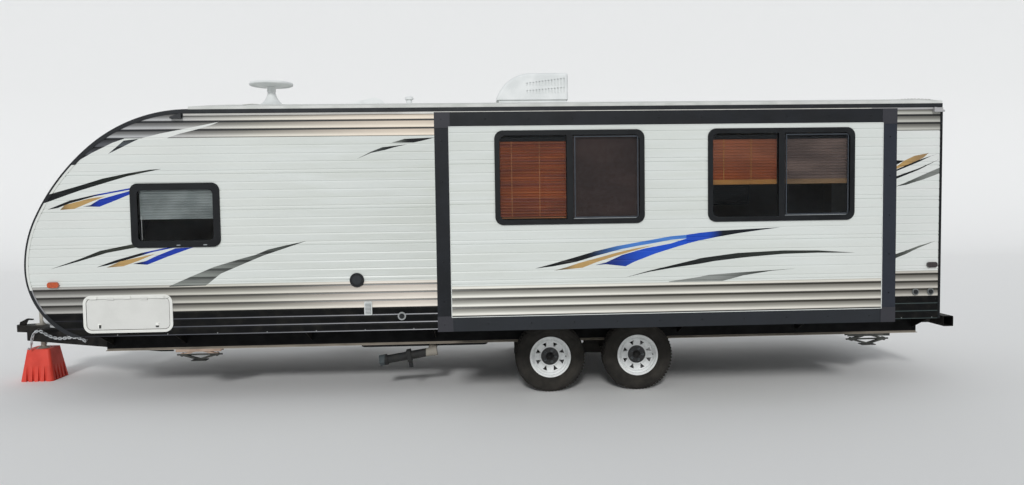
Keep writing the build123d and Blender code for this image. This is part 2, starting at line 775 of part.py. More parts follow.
hanger_gap = 1
with BuildPart() as spring_hangers:
    top = up(rail_bottom_height)
    for side in (-1, 1):
        for plate in (-1, 1):
            near = rail_y + plate * (spring_width / 2 + hanger_gap) - (hanger_steel if plate < 0 else 0)
            with BuildSketch(side_plane(side, near)):
                for x in (axle_x[0] - spring_length / 2, axle_x[1] + spring_length / 2):
                    with Locations((x, (top + eye_z) / 2 - 10)):
                        Rectangle(60, top - eye_z + 20)
                with BuildLine():
                    reach = (axle_spacing - spring_length) / 2 + 25
                    Polyline((axle_centre_x - reach, eye_z - 22), (axle_centre_x + reach, eye_z - 22),
                             (axle_centre_x + 40, top), (axle_centre_x - 40, top), close=True)
                make_face()
            to_side(side, near, near + hanger_steel)
        with BuildSketch(side_plane(side, rail_y - spring_width / 2 - hanger_gap)):
            eyes = [axle_x[0] - spring_length / 2, axle_x[0] + spring_length / 2,
                    axle_x[1] - spring_length / 2, axle_x[1] + spring_length / 2]
            with Locations(*[(x, eye_z) for x in eyes]):
                Circle(bolt_radius)
        to_side(side, rail_y - spring_width / 2 - hanger_gap, rail_y + spring_width / 2 + hanger_gap)


# One tyre, one rim with its drum and hub, at the origin with the axle along Y
rim_lip = 8
rim_lip_height = 14
window_count = 8
window_inner = 93
window_outer = 138
window_half = 22
with BuildPart() as tyre_shape:
    with BuildSketch(Plane.XY):
        with BuildLine():
            half = tyre_width / 2
            bead = rim_width / 2 - rim_lip - seat_gap
            seat = rim_radius - rim_lip_height + seat_gap
            Polyline((seat, 0), (seat, bead), (rim_radius + 1, bead), (rim_radius + 14, bead + 12))
            ThreePointArc((rim_radius + 14, bead + 12), (rim_radius + 60, half), (tyre_radius - 22, half - 14))
            ThreePointArc((tyre_radius - 22, half - 14), (tyre_radius - 6, half - 26), (tyre_radius, half - 44))
            Line((tyre_radius, half - 44), (tyre_radius, 0))
            mirror(about=Plane.XZ)
        make_face()
    revolve(axis=Axis.Y)

with BuildPart() as rim_shape:
    with BuildSketch(Plane.XY):
        with BuildLine():
            half = rim_width / 2
            seat = rim_radius - rim_lip_height
            Polyline((rim_radius, -half), (rim_radius, -half + rim_lip), (seat, -half + rim_lip),
                     (seat, -40), (rim_radius - 26, -30), (rim_radius - 26, 30), (seat, 40),
                     (seat, half - rim_lip), (rim_radius, half - rim_lip), (rim_radius, half),
                     (rim_radius - 18, half), (rim_radius - 18, 44), (rim_radius - 30, 32), (rim_radius - 30, -34),
                     (rim_radius - 18, -44), (rim_radius - 18, -half), close=True)
        make_face()
        with BuildLine():
            Polyline((rim_radius - 28, -34), (rim_radius - 46, -46), (110, -36), (90, -24), (0, -24), (0, -18),
                     (88, -18), (108, -30), (rim_radius - 48, -40), (rim_radius - 28, -28), close=True)
        make_face()
        with BuildLine():
            Polyline((0, -18), (70, -18), (70, 10), (122, 14), (122, drum_reach), (116, drum_reach), (116, 20), (spindle_radius + 3, 20),
                     (spindle_radius + 3, 0), (0, 0), close=True)
        make_face()
    revolve(axis=Axis.Y)
    with BuildSketch(Plane.XZ):
        with PolarLocations(0, window_count, start_angle=180 / window_count):
            Polygon((window_inner, 0), (window_outer, -window_half), (window_outer, window_half), align=None)
    extrude(amount=rim_width, both=True, mode=Mode.SUBTRACT)

# Bumper, a square tube behind the rails with open ends
bumper_size = 100
bumper_gap = 84
bumper_inset = 69
bumper_half_length = half_width - bumper_inset
bumper_top_height = 640
bracket_height = 80
with BuildPart() as bumper:
    with BuildSketch(Plane.XZ.offset(-bumper_half_length)):
        with Locations((rear_x + bumper_gap + bumper_size / 2, up(bumper_top_height) - bumper_size / 2)):
            RectangleRounded(bumper_size, bumper_size, 8)
            RectangleRounded(bumper_size - 6, bumper_size - 6, 6, mode=Mode.SUBTRACT)
    extrude(amount=2 * bumper_half_length)
    for side in (-1, 1):
        with BuildSketch(Plane.YZ.offset(rear_wall_x)):
            with Locations((side * rail_y, up(siding_bottom_height) - bracket_height / 2 - 5)):
                Rectangle(rail_flange, bracket_height)
        extrude(amount=rear_x - rear_wall_x + bumper_gap)

# Folded scissor stabilisers under the rails: a channel, two pairs of arms, a screw and a foot
jack_length = 430
jack_width = 70
jack_steel = 5
channel_depth = 24
knee_x = 165
arm_height = 18
arm_width = 34
screw_radius = 8
foot_length = 145
foot_width = 100
jack_drop = 112            # foot's underside below the rail
stabiliser_x = [2170, 8750]


def stabiliser():
    top = up(rail_bottom_height)
    knee_z = top - jack_drop / 2
    with BuildPart() as shape:
        with BuildSketch(Plane.YZ.offset(-jack_length / 2)):
            with Locations((0, top - channel_depth / 2)):
                Rectangle(jack_width, channel_depth)
            with Locations((0, top - jack_steel - channel_depth / 2)):
                Rectangle(jack_width - 2 * jack_steel, channel_depth, mode=Mode.SUBTRACT)
        extrude(amount=jack_length)
        with BuildSketch(Plane.XZ.offset(-arm_width / 2)):
            for way in (-1, 1):
                for root_z in (top - arm_height / 2, top - jack_drop + arm_height / 2):
                    with BuildLine():
                        Polyline((0, root_z - arm_height / 2), (way * knee_x, knee_z - arm_height / 2),
                                 (way * knee_x, knee_z + arm_height / 2), (0, root_z + arm_height / 2), close=True)
                    make_face()
                with Locations((way * knee_x, knee_z)):
                    Circle(arm_height)
        extrude(amount=arm_width)
        with BuildSketch(Plane.YZ.offset(-jack_length / 2)):
            with Locations((0, knee_z)):
                Circle(screw_radius)
        extrude(amount=jack_length)
        with BuildSketch(Plane.XY.offset(top - jack_drop)):
            RectangleRounded(foot_length, foot_width, 12)
        extrude(amount=jack_steel)
    return shape.part


with BuildPart() as stabilisers:
    for side in (-1, 1):
        for x in stabiliser_x:
            add(stabiliser().moved(Location((x, side * rail_y, 0))))

# Slide-out room: a box with an open inner end
face_outer = half_width + slide_reach - fascia_proud - skin
face_thickness = wall_thickness
room_end = wall_inner - slide_inside
with BuildPart() as slide_room:
    with BuildSketch(side_plane(-1, room_end)):
        with Locations((slide_centre_x, (room_bottom + room_top) / 2)):
            Rectangle(room_width, room_height)
        with Locations((slide_centre_x, (room_bottom + slide_floor + room_top - slide_wall) / 2)):
            Rectangle(room_width - 2 * slide_wall, room_height - slide_wall - slide_floor, mode=Mode.SUBTRACT)
    to_side(-1, room_end, face_outer - face_thickness)
    with BuildSketch(side_plane(-1, wall_inner - slide_clearance - 20)):
        with Locations((slide_centre_x, (room_bottom + room_top) / 2)):
            Rectangle(room_width + 2 * inner_flange, room_height + 2 * inner_flange)
            Rectangle(room_width, room_height, mode=Mode.SUBTRACT)
        with Locations((slide_centre_x, room_bottom)):
            Rectangle(2 * room_width, 2 * inner_flange, align=(Align.CENTER, Align.MAX), mode=Mode.SUBTRACT)
    to_side(-1, wall_inner - slide_clearance - 20, wall_inner - slide_clearance)


def slide_window_holes():
    for window in slide_windows:
        rounded(window["x"], window["height"], window["w"] - 2 * window_lap, window["h"] - 2 * window_lap,
                window_corner - window_lap, mode=Mode.SUBTRACT)


with BuildPart() as slide_face:
    with BuildSketch(side_plane(-1, face_outer - face_thickness)):
        with Locations((slide_centre_x, (room_bottom + room_top) / 2)):
            Rectangle(room_width, room_height)
        slide_window_holes()
    to_side(-1, face_outer - face_thickness, face_outer)

with BuildPart() as slide_siding:
    with BuildSketch(side_plane(-1, face_outer)):
        with Locations((slide_centre_x, (room_bottom + room_top) / 2)):
            Rectangle(room_width, room_height)
        slide_window_holes()
    to_side(-1, face_outer, face_outer + skin)
    slide_grooves = groove_rows(slide_lift, slide_bottom_height + fascia_band,
                                slide_bottom_height + slide_height - fascia_band)
    add(groove_solids(along_side(-1, face_outer + skin, 0), slide_grooves, 2 * body_length), mode=Mode.SUBTRACT)

# Charcoal fascia: a frame over the room's edge, with square blocks at its corners
corner_block = 128
corner_proud = 3
with BuildPart() as slide_fascia:
    with BuildSketch(side_plane(-1, face_outer + skin)):
        with Locations((slide_centre_x, up(slide_centre_height))):
            Rectangle(slide_width, slide_height)
            Rectangle(slide_width - 2 * fascia_band, slide_height - 2 * fascia_band, mode=Mode.SUBTRACT)
    to_side(-1, face_outer + skin, face_outer + skin + fascia_proud)
    with BuildSketch(side_plane(-1, half_width + slide_reach - fascia_depth)):
        with Locations((slide_centre_x, up(slide_centre_height))):
            Rectangle(slide_width, slide_height)
            Rectangle(room_width, room_height, mode=Mode.SUBTRACT)
    to_side(-1, half_width + slide_reach - fascia_depth, face_outer + skin)
    with BuildSketch(side_plane(-1, face_outer + skin + fascia_proud)):
        with Locations((slide_centre_x, up(slide_centre_height))):
            with GridLocations(slide_width - corner_block, slide_height - corner_block, 2, 2):
                Rectangle(corner_block, corner_block)
            Rectangle(slide_width - 2 * fascia_band, slide_height - 2 * fascia_band, mode=Mode.SUBTRACT)
    to_side(-1, face_outer + skin + fascia_proud, face_outer + skin + fascia_proud + corner_proud)

# A window's frame: a flange outside the skin, a sleeve through the wall and a divider
def window_frame(window, face):
    side = window["side"]
    with BuildPart() as frame:
        with BuildSketch(side_plane(side, face)):
            rounded(window["x"], window["height"], window["w"], window["h"], window_corner)
            rounded(window["x"], window["height"], window["w"] - 2 * window["frame"], window["h"] - 2 * window["frame"],
                    window_corner - window["frame"] / 2, mode=Mode.SUBTRACT)
            if window["divider"]:
                with Locations((window["x"], up(window["height"]))):
                    Rectangle(divider_width, window["h"] - window["frame"])
        to_side(side, face, face + window_proud)
        with BuildSketch(side_plane(side, face - wall_thickness)):
            rounded(window["x"], window["height"], window["w"] - 2 * (window_lap + seat_gap),
                    window["h"] - 2 * (window_lap + seat_gap), window_corner - window_lap)
            rounded(window["x"], window["height"], window["w"] - 2 * (window_lap + sleeve + seat_gap),
                    window["h"] - 2 * (window_lap + sleeve + seat_gap), window_corner - window_lap - sleeve,
                    mode=Mode.SUBTRACT)
        to_side(side, face - wall_thickness, face)
    return frame.part


# A pane or a blind inside a window's sleeve, its outer face at face
def window_pane(window, face, thickness):
    side = window["side"]
    inset = window_lap + sleeve + 2 * seat_gap
    with BuildPart() as pane:
        with BuildSketch(side_plane(side, face - thickness)):
            rounded(window["x"], window["height"], window["w"] - 2 * inset, window["h"] - 2 * inset,
                    window_corner - inset)
        to_side(side, face - thickness, face)
    return pane.part


slide_skin = face_outer + skin
def row_of(shapes):
    with BuildPart() as row:
        add(shapes)
    return row.part


blind_gap = 20
window_frames = row_of([window_frame(window, half_width) for window in windows])
window_glass = row_of([window_pane(window, half_width, glass_thickness) for window in windows])
window_blinds = row_of([window_pane(window, half_width - blind_gap, blind_thickness) for window in windows])
slide_window_frames = row_of([window_frame(window, slide_skin) for window in slide_windows])
slide_window_glass = row_of([window_pane(window, slide_skin, glass_thickness) for window in slide_windows])
slide_blinds = row_of([window_pane(window, slide_skin - blind_gap, blind_thickness) for window in slide_windows])

# Cargo doors in their frames, one each side, hinged at the top; the entry door is hinged in front
door_width = cargo_width - 2 * (frame_width + door_gap)
door_tall = cargo_tall - 2 * (frame_width + door_gap)
hinge_y = half_width + hinge_stand
cargo_hinge_z = up(cargo_height) + door_tall / 2 + hinge_above
entry_hinge_x = entry_x - entry_width / 2 - hinge_above
cargo_knuckles = {"frame": (-300, 0, 300), "door": (-150, 150)}
entry_knuckles = {"frame": (350, 900, 1450), "door": (250, 1000, 1550)}


# Knuckles of a cargo door's hinge with their leaves, which rest on a face proud of the siding
def cargo_hinge(side, part_name, proud):
    way = 1 if part_name == "frame" else -1
    with BuildPart() as hinge:
        for offset in cargo_knuckles[part_name]:
            with BuildSketch(Plane.YZ.offset(cargo_x + offset - knuckle_length / 2)):
                with Locations((side * hinge_y, cargo_hinge_z)):
                    Circle(knuckle_radius)
                with Locations((side * (half_width + proud + hinge_y) / 2, cargo_hinge_z + way * leaf_reach / 2)):
                    Rectangle(hinge_y - half_width - proud, leaf_reach)
            extrude(amount=knuckle_length)
        with BuildSketch(Plane.YZ.offset(cargo_x - door_width / 2)):
            with Locations((side * hinge_y, cargo_hinge_z)):
                Circle(hinge_pin_radius + (0 if way > 0 else seat_gap))
        extrude(amount=door_width, mode=Mode.ADD if way > 0 else Mode.SUBTRACT)
    return hinge.part


def entry_hinge(part_name, proud):
    way = -1 if part_name == "frame" else 1
    with BuildPart() as hinge:
        for offset in entry_knuckles[part_name]:
            with BuildSketch(Plane.XY.offset(up(entry_bottom_height + offset))):
                with Locations((entry_hinge_x, hinge_y)):
                    Circle(knuckle_radius)
                with Locations((entry_hinge_x + way * leaf_reach / 2, (half_width + proud + hinge_y) / 2)):
                    Rectangle(leaf_reach, hinge_y - half_width - proud)
            extrude(amount=knuckle_length)
        with BuildSketch(Plane.XY.offset(up(entry_bottom_height + 200))):
            with Locations((entry_hinge_x, hinge_y)):
                Circle(hinge_pin_radius + (0 if way < 0 else seat_gap))
        extrude(amount=1450, mode=Mode.ADD if way < 0 else Mode.SUBTRACT)
    return hinge.part


with BuildPart() as door_frames:
    for side in (-1, 1):
        with BuildSketch(side_plane(side, half_width)):
            rounded(cargo_x, cargo_height, cargo_width, cargo_tall, cargo_corner)
            rounded(cargo_x, cargo_height, cargo_width - 2 * frame_width, cargo_tall - 2 * frame_width,
                    cargo_corner - frame_width, mode=Mode.SUBTRACT)
        to_side(side, half_width, half_width + frame_proud)
    with BuildSketch(side_plane(1, half_width)):
        middle = entry_bottom_height + entry_height / 2
        rounded(entry_x, middle, entry_width + 2 * (door_gap + frame_width),
                entry_height + 2 * (door_gap + frame_width), entry_corner + door_gap + frame_width)
        rounded(entry_x, middle, entry_width + 2 * door_gap, entry_height + 2 * door_gap, entry_corner + door_gap,
                mode=Mode.SUBTRACT)
    to_side(1, half_width, half_width + frame_proud)
    for side in (-1, 1):
        add(cargo_hinge(side, "frame", frame_proud))
    add(entry_hinge("frame", frame_proud))


def cargo_door(side):
    with BuildPart() as door:
        with BuildSketch(side_plane(side, wall_inner)):
            rounded(cargo_x, cargo_height, door_width, door_tall, cargo_corner - frame_width - door_gap)
        to_side(side, wall_inner, half_width + door_proud)
        with BuildSketch(side_plane(side, half_width + door_proud)):
            latch_z = up(cargo_height) - door_tall * 0.38
            with Locations(*[(cargo_x + way * door_width * 0.35, latch_z) for way in (-1, 1)]):
                RectangleRounded(26, 40, 5)
        to_side(side, half_width + door_proud, half_width + door_proud + 6)
        add(cargo_hinge(side, "door", door_proud))
    return door.part


road_cargo_door = cargo_door(-1)
kerb_cargo_door = cargo_door(1)

# Entry door with its window
door_window = 330
door_window_height = entry_bottom_height + entry_height - 460
with BuildPart() as entry_door:
    with BuildSketch(side_plane(1, wall_inner)):
        rounded(entry_x, entry_bottom_height + entry_height / 2, entry_width, entry_height, entry_corner)
        rounded(entry_x, door_window_height, door_window, 560, 40, mode=Mode.SUBTRACT)
    to_side(1, wall_inner, half_width + door_proud)
    with BuildSketch(side_plane(1, half_width + door_proud)):
        with Locations((entry_x + entry_width / 2 - 60, up(entry_bottom_height + 850))):
            RectangleRounded(70, 150, 12)
    to_side(1, half_width + door_proud, half_width + door_proud + 22)
    add(entry_hinge("door", door_proud))
with BuildPart() as entry_door_glass:
    with BuildSketch(side_plane(1, wall_inner + 15)):
        rounded(entry_x, door_window_height, door_window, 560, 40)
    to_side(1, wall_inner + 15, wall_inner + 15 + glass_thickness)

# Grab handle beside the door
handle_x = entry_x + entry_width / 2 + 110
handle_stand = 70
handle_radius = 11
with BuildPart() as grab_handle:
    with BuildLine(Plane.YZ.offset(handle_x)):
        low, high = up(1150), up(1750)
        FilletPolyline((half_width, low), (half_width + handle_stand, low), (half_width + handle_stand, high),
                       (half_width, high), radius=30)
    with BuildSketch(Plane.XZ.offset(-half_width)):
        with Locations((handle_x, low)):
            Circle(handle_radius)
    sweep()
    with BuildSketch(side_plane(1, half_width)):
        with Locations((handle_x, low), (handle_x, high)):
            Circle(2.2 * handle_radius)
    to_side(1, half_width, half_width + 6)

# Entry step: a tread that flips up between two brackets under the floor
step_pivot_height = 400
step_pivot_y = 1195
step_width = 560
step_depth = 220
step_thickness = 25
pin_radius = 7
bracket_steel = 8
with BuildPart() as entry_step:
    with BuildSketch(Plane.XY.offset(up(step_pivot_height - step_thickness))):
        with Locations((entry_x, step_pivot_y + 12 + step_depth / 2)):
            RectangleRounded(step_width, step_depth, 20)
    extrude(amount=step_thickness)
    for way in (-1, 1):
        with BuildSketch(Plane.YZ.offset(entry_x + way * (step_width / 2 - 25) - 4)):
            with Locations((step_pivot_y, up(step_pivot_height - step_thickness / 2))):
                Circle(step_thickness / 2)
            with Locations((step_pivot_y + 15, up(step_pivot_height - step_thickness / 2))):
                Rectangle(30, step_thickness)
        extrude(amount=8)
    with BuildSketch(Plane.YZ.offset(entry_x - step_width / 2 - 22)):
        with Locations((step_pivot_y, up(step_pivot_height - step_thickness / 2))):
            Circle(pin_radius)
    extrude(amount=step_width + 44)
with BuildPart() as hangers:
    add(spring_hangers.part)
    for way in (-1, 1):
        with BuildSketch(Plane.YZ.offset(entry_x + way * (step_width / 2 + 14) - bracket_steel / 2)):
            with BuildLine():
                top = up(rail_top_height)
                Polyline((step_pivot_y - 110, top), (step_pivot_y - 30, top), (step_pivot_y + 14, up(400)),
                         (step_pivot_y + 14, up(370)), (step_pivot_y - 20, up(370)), close=True)
            make_face()
            with Locations((step_pivot_y, up(step_pivot_height - step_thickness / 2))):
                Circle(pin_radius + 0.5, mode=Mode.SUBTRACT)
        extrude(amount=bracket_steel)

# Awning: roller, its end arms and the rail
awning_before_door = 690   # awning's front end ahead of the door's middle
awning_front_x = entry_x - awning_before_door
awning_foot_height = 1000
awning_drop = 80           # roller's axis below the wall's top
awning_length = 4800
roller_radius = 38
roller_height = wall_top_height - awning_drop
with BuildPart() as awning:
    with BuildSketch(Plane.YZ.offset(awning_front_x)):
        with Locations((half_width + 30 + roller_radius, up(roller_height))):
            Circle(roller_radius)
    extrude(amount=awning_length)
    for x in (awning_front_x - 40, awning_front_x + awning_length):
        with BuildSketch(Plane.XY.offset(up(awning_foot_height))):
            with Locations((x + 20, half_width + 25)):
                Rectangle(40, 50)
        extrude(amount=roller_height + 20 - awning_foot_height)
        with BuildSketch(Plane.YZ.offset(x)):
            with Locations((half_width + 30 + roller_radius, up(roller_height))):
                Circle(roller_radius + 8)
        extrude(amount=40)


# Height of the roof's surface at a distance from its middle
def roof_z(y):
    chord_radius = (half_width ** 2 + roof_crown ** 2) / (2 * roof_crown)
    return up(wall_top_height) + roof_edge + roof_crown - chord_radius + (chord_radius ** 2 - y ** 2) ** 0.5


# Air conditioner: a shroud with a curved front and rows of slots, on a base pan
ac_front_x = 5085
ac_length = 744
ac_width = 700
ac_height = 275
ac_base = 45
ac_flat_x = 345            # the top is flat from here back
ac_brow = (91, 168)        # a point on its front curve, back from the front and above the base
ac_round = 28
slot_pitch = 32
slot_width = 13
slot_depth = 15
slot_count = 13
slots_from_rear = 44       # rearmost slot ahead of the rear
slot_short = 36            # foremost slots are shorter
# Rows of slots: foot above the base, height of the rearmost
slot_rows = [(60, 68), (138, 84)]
with BuildPart() as air_conditioner:
    low = roof_z(ac_width / 2) + ac_base
    high = low + ac_height
    front, rear = ac_front_x, ac_front_x + ac_length
    with BuildSketch(Plane.XZ.offset(-ac_width / 2)):
        with BuildLine():
            lip = low + 30
            Line((front, lip), (front, low))
            Line((front, low), (rear, low))
            Line((rear, low), (rear, high - ac_round))
            RadiusArc((rear, high - ac_round), (rear - ac_round, high), -ac_round)
            Line((rear - ac_round, high), (front + ac_flat_x, high))
            ThreePointArc((front + ac_flat_x, high), (front + ac_brow[0], low + ac_brow[1]), (front, lip))
        make_face()
    extrude(amount=ac_width)
    edges = air_conditioner.part.edges().filter_by(Plane.XZ).filter_by(lambda e: e.center().Z > low + 20)
    fillet(edges, ac_round)
    for side in (-1, 1):
        with BuildSketch(side_plane(side, ac_width / 2 - slot_depth)):
            for foot, tall in slot_rows:
                for i in range(slot_count):
                    this_tall = tall - (tall - slot_short) * i / (slot_count - 1)
                    with Locations((rear - slots_from_rear - i * slot_pitch, low + foot)):
                        Rectangle(slot_width, this_tall, align=(Align.CENTER, Align.MIN))
        extrude(amount=-side * slot_depth, mode=Mode.SUBTRACT)
    with BuildSketch(Plane.YZ.offset(rear - slot_depth)):
        for foot, tall in slot_rows:
            with Locations((0, low + foot + tall / 2)):
                with GridLocations(slot_pitch, 1, slot_count + 4, 1):
                    Rectangle(slot_width, tall)
    extrude(amount=slot_depth, mode=Mode.SUBTRACT)
    with BuildSketch(Plane.YZ.offset(front + 20)):
        with BuildLine():
            half = ac_width / 2 - 20
            Line((-half, roof_z(half)), (-half, low))
            Line((-half, low), (half, low))
            Line((half, low), (half, roof_z(half)))
            ThreePointArc((half, roof_z(half)), (0, roof_z(0)), (-half, roof_z(half)))
        make_face()
    extrude(amount=ac_length - 40)

# Saucer antenna on a flared pedestal
antenna_x = 2772
antenna_y = -300
antenna_rise = 270
antenna_foot_radius = 140
antenna_post_radius = 38
flare_top = 162            # foot's flare ends above the roof
collar_radius = 44
saucer_radius = 218
saucer_deep = 54           # saucer at its middle
saucer_edge = 26           # where the saucer's rim turns in
with BuildPart() as antenna:
    with BuildSketch(Plane((antenna_x, antenna_y, 0), (1, 0, 0), (0, -1, 0))):
        with BuildLine():
            foot = roof_z(abs(antenna_y) + antenna_foot_radius) - 12
            top = foot + antenna_rise
            flat = saucer_radius - saucer_edge
            neck = foot + flare_top
            Line((0, foot), (antenna_foot_radius, foot))
            Line((antenna_foot_radius, foot), (antenna_foot_radius, foot + 22))
            ThreePointArc((antenna_foot_radius, foot + 22), (antenna_foot_radius * 0.55, foot + flare_top * 0.45),
                          (antenna_post_radius, neck))
            Polyline((antenna_post_radius, neck), (collar_radius, neck + 6), (collar_radius, top - saucer_deep - 4),
                     (antenna_post_radius, top - saucer_deep), (flat, top - saucer_deep * 0.68))
            ThreePointArc((flat, top - saucer_deep * 0.68), (saucer_radius, top - saucer_deep / 2),
                          (flat, top - saucer_deep * 0.32))
            Polyline((flat, top - saucer_deep * 0.32), (flat * 0.6, top - saucer_deep * 0.1),
                     (antenna_post_radius, top), (0, top), (0, foot))
        make_face()
    revolve(axis=Axis((antenna_x, antenna_y, 0), (0, 0, 1)))
    add(roof.part, mode=Mode.SUBTRACT)

# Roof vent cover and plumbing vent cap
vent_x = 3755
vent_y = -200
vent_side = 350
vent_rise = 64
vent_peak = 0.68           # share of its length at which the cover is highest
cap_x = 4201
cap_y = -600
cap_radius = 43
cap_post_radius = 28
cap_rise = 78
cap_tall = 34
with BuildPart() as roof_vents:
    with BuildSketch(Plane.XZ.offset(-(vent_y + vent_side / 2))):
        with BuildLine():
            foot = roof_z(abs(vent_y) + vent_side / 2) - 4
            top = roof_z(0) + vent_rise
            front, rear = vent_x - vent_side / 2, vent_x + vent_side / 2
            peak = front + vent_side * vent_peak
            brim = roof_z(0) + 8
            Line((front, foot), (rear, foot))
            Line((rear, foot), (rear, brim))
            ThreePointArc((rear, brim), (rear - 32, top - 24), (peak + 20, top))
            Polyline((peak + 20, top), (peak - 20, top - 3), (front, brim), (front, foot))
        make_face()
    extrude(amount=vent_side)
    with BuildSketch(Plane((cap_x, cap_y, 0), (1, 0, 0), (0, -1, 0))):
        with BuildLine():
            foot = roof_z(abs(cap_y) + cap_radius) - 2
            top = foot + cap_rise
            Polyline((0, top), (0, foot), (cap_radius, foot), (cap_radius, foot + 8), (cap_post_radius, foot + 14),
                     (cap_post_radius, top - cap_tall), (cap_radius, top - cap_tall), (cap_radius, top - 14))
            Polyline((cap_radius, top - 14), (cap_radius * 0.8, top - 4), (cap_radius * 0.4, top), (0, top))
        make_face()
    revolve(axis=Axis((cap_x, cap_y, 0), (0, 0, 1)))
    add(roof.part, mode=Mode.SUBTRACT)

# Service fittings. Round ones: side, X, height, radius; panels: side, X, height, width, height, corner
round_fittings = [
    (-1, 3735, 1109, 66),
    (-1, 4142, 765, 38),
    (-1, rear_x - 244, 893, 33),
    (-1, rear_x - 96, 893, 33),
]
panel_fittings = [
    (-1, 3833, 844, 72, 128, 10),
    (1, 6400, 1250, 420, 560, 12),
    (1, 7100, 1000, 330, 330, 12),
]
fitting_proud = 12
with BuildPart() as side_fittings:
    for side, x, height, radius in round_fittings:
        with BuildSketch(side_plane(side, half_width)):
            with Locations((x, up(height))):
                Circle(radius)
        to_side(side, half_width, half_width + fitting_proud)
        with BuildSketch(side_plane(side, half_width + fitting_proud)):
            with Locations((x, up(height))):
                Circle(radius * 0.62)
        to_side(side, half_width + fitting_proud, half_width + fitting_proud + 5)
    for side, x, height, width, tall, corner in panel_fittings:
        with BuildSketch(side_plane(side, half_width)):
            rounded(x, height, width, tall, corner)
        to_side(side, half_width, half_width + fitting_proud)
        with BuildSketch(side_plane(side, half_width + fitting_proud)):
            rounded(x, height, width - 3 * corner, tall - 3 * corner, corner / 2)
        to_side(side, half_width + fitting_proud, half_width + fitting_proud + 4)

# Lamps: a marker on each side in front and behind, two on the rear and three above them
marker_length = 100
marker_tall = 52
marker_corner = 22
marker_height = 1116
marker_x = nose_x + 248
rear_marker_height = 1152
rear_marker_inset = 86
lamp_stand = 20
tail_inset = 219
tail_height = 880
with BuildPart() as lamps:
    for side in (-1, 1):
        with BuildSketch(side_plane(side, half_width)):
            rounded(marker_x, marker_height, marker_length, marker_tall, marker_corner)
            rounded(rear_x - rear_marker_inset, rear_marker_height, marker_length, marker_tall, marker_corner)
        to_side(side, half_width, half_width + lamp_stand)
    with BuildSketch(Plane.YZ.offset(rear_x)):
        with Locations(*[(side * (half_width - tail_inset), up(tail_height)) for side in (-1, 1)]):
            RectangleRounded(210, 150, 12)
        with Locations((0, up(wall_top_height) - 90)):
            with GridLocations(180, 1, 3, 1):
                RectangleRounded(marker_length, marker_tall / 2, 8)
    extrude(amount=lamp_stand + 10)

# Waste tank between the rails, with its outlet under the road side: pipe, slanted drain, valve and cap
tank_x = 4300
tank_length = 1300
tank_width = 1100
tank_top_height = rail_top_height - rail_steel - cross_depth
tank_depth = 150
pipe_x = 4400
pipe_y = rail_y + 100
pipe_height = 392
pipe_radius = 40
drain_slope = 9            # degrees below level, towards the front
drain_length = 480
valve_from = 250           # valve's start and length along the drain
valve_length = 40
cap_length = 75
with BuildPart() as waste_tank:
    with BuildSketch(Plane.XY.offset(up(tank_top_height))):
        with Locations((tank_x, 0)):
            RectangleRounded(tank_length, tank_width, 60)
    extrude(amount=-tank_depth)
    fillet(waste_tank.part.faces().sort_by(Axis.Z)[0].edges(), 25)
    with BuildSketch(Plane.XZ.offset(tank_width / 2 - 10)):
        with Locations((pipe_x, up(pipe_height))):
            Circle(pipe_radius)
    extrude(amount=pipe_y - tank_width / 2 + 10)
    slope = radians(drain_slope)
    drain = Plane(origin=(pipe_x + pipe_radius + 10, -pipe_y, up(pipe_height)), x_dir=(0, 1, 0),
                  z_dir=(-cos(slope), 0, -sin(slope)))
    with BuildSketch(drain):
        Circle(pipe_radius)
    extrude(amount=drain_length)
    with BuildSketch(drain):
        Circle(pipe_radius + 6)
    extrude(amount=40)
    with BuildSketch(drain.offset(valve_from)):
        RectangleRounded(2 * pipe_radius + 30, 2 * pipe_radius + 30, 10)
        with Locations((0, pipe_radius + 40)):
            Rectangle(pipe_radius, 70)
    extrude(amount=valve_length)
    with BuildSketch(drain.offset(drain_length)):
        Circle(pipe_radius + 12)
        with GridLocations(2 * pipe_radius + 20, 1, 2, 1):
            Rectangle(24, 30)
    extrude(amount=cap_length)

# Propane bottles and the battery box on the drawbar
bottle_radius = 155
bottle_y = 165
bottle_foot = beam_top_height + tray_thickness
with BuildPart() as bottle_shape:
    with BuildSketch(Plane.XZ):
        with BuildLine():
            z = up(bottle_foot)
            Line((0, z), (100, z))
            Line((100, z), (100, z + 30))
            ThreePointArc((100, z + 30), (142, z + 50), (bottle_radius, z + 95))
            Line((bottle_radius, z + 95), (bottle_radius, z + 300))
            ThreePointArc((bottle_radius, z + 300), (130, z + 355), (70, z + 385))
            Polyline((70, z + 385), (110, z + 390), (110, z + 455), (104, z + 455), (104, z + 398), (40, z + 398),
                     (24, z + 430), (0, z + 430), (0, z))
        make_face()
    revolve(axis=Axis.Z)
with BuildPart() as battery_box:
    with BuildSketch(Plane.XY.offset(up(beam_top_height) + tray_thickness)):
        with Locations((battery_x, 0)):
            RectangleRounded(180, 300, 12)
    extrude(amount=190)

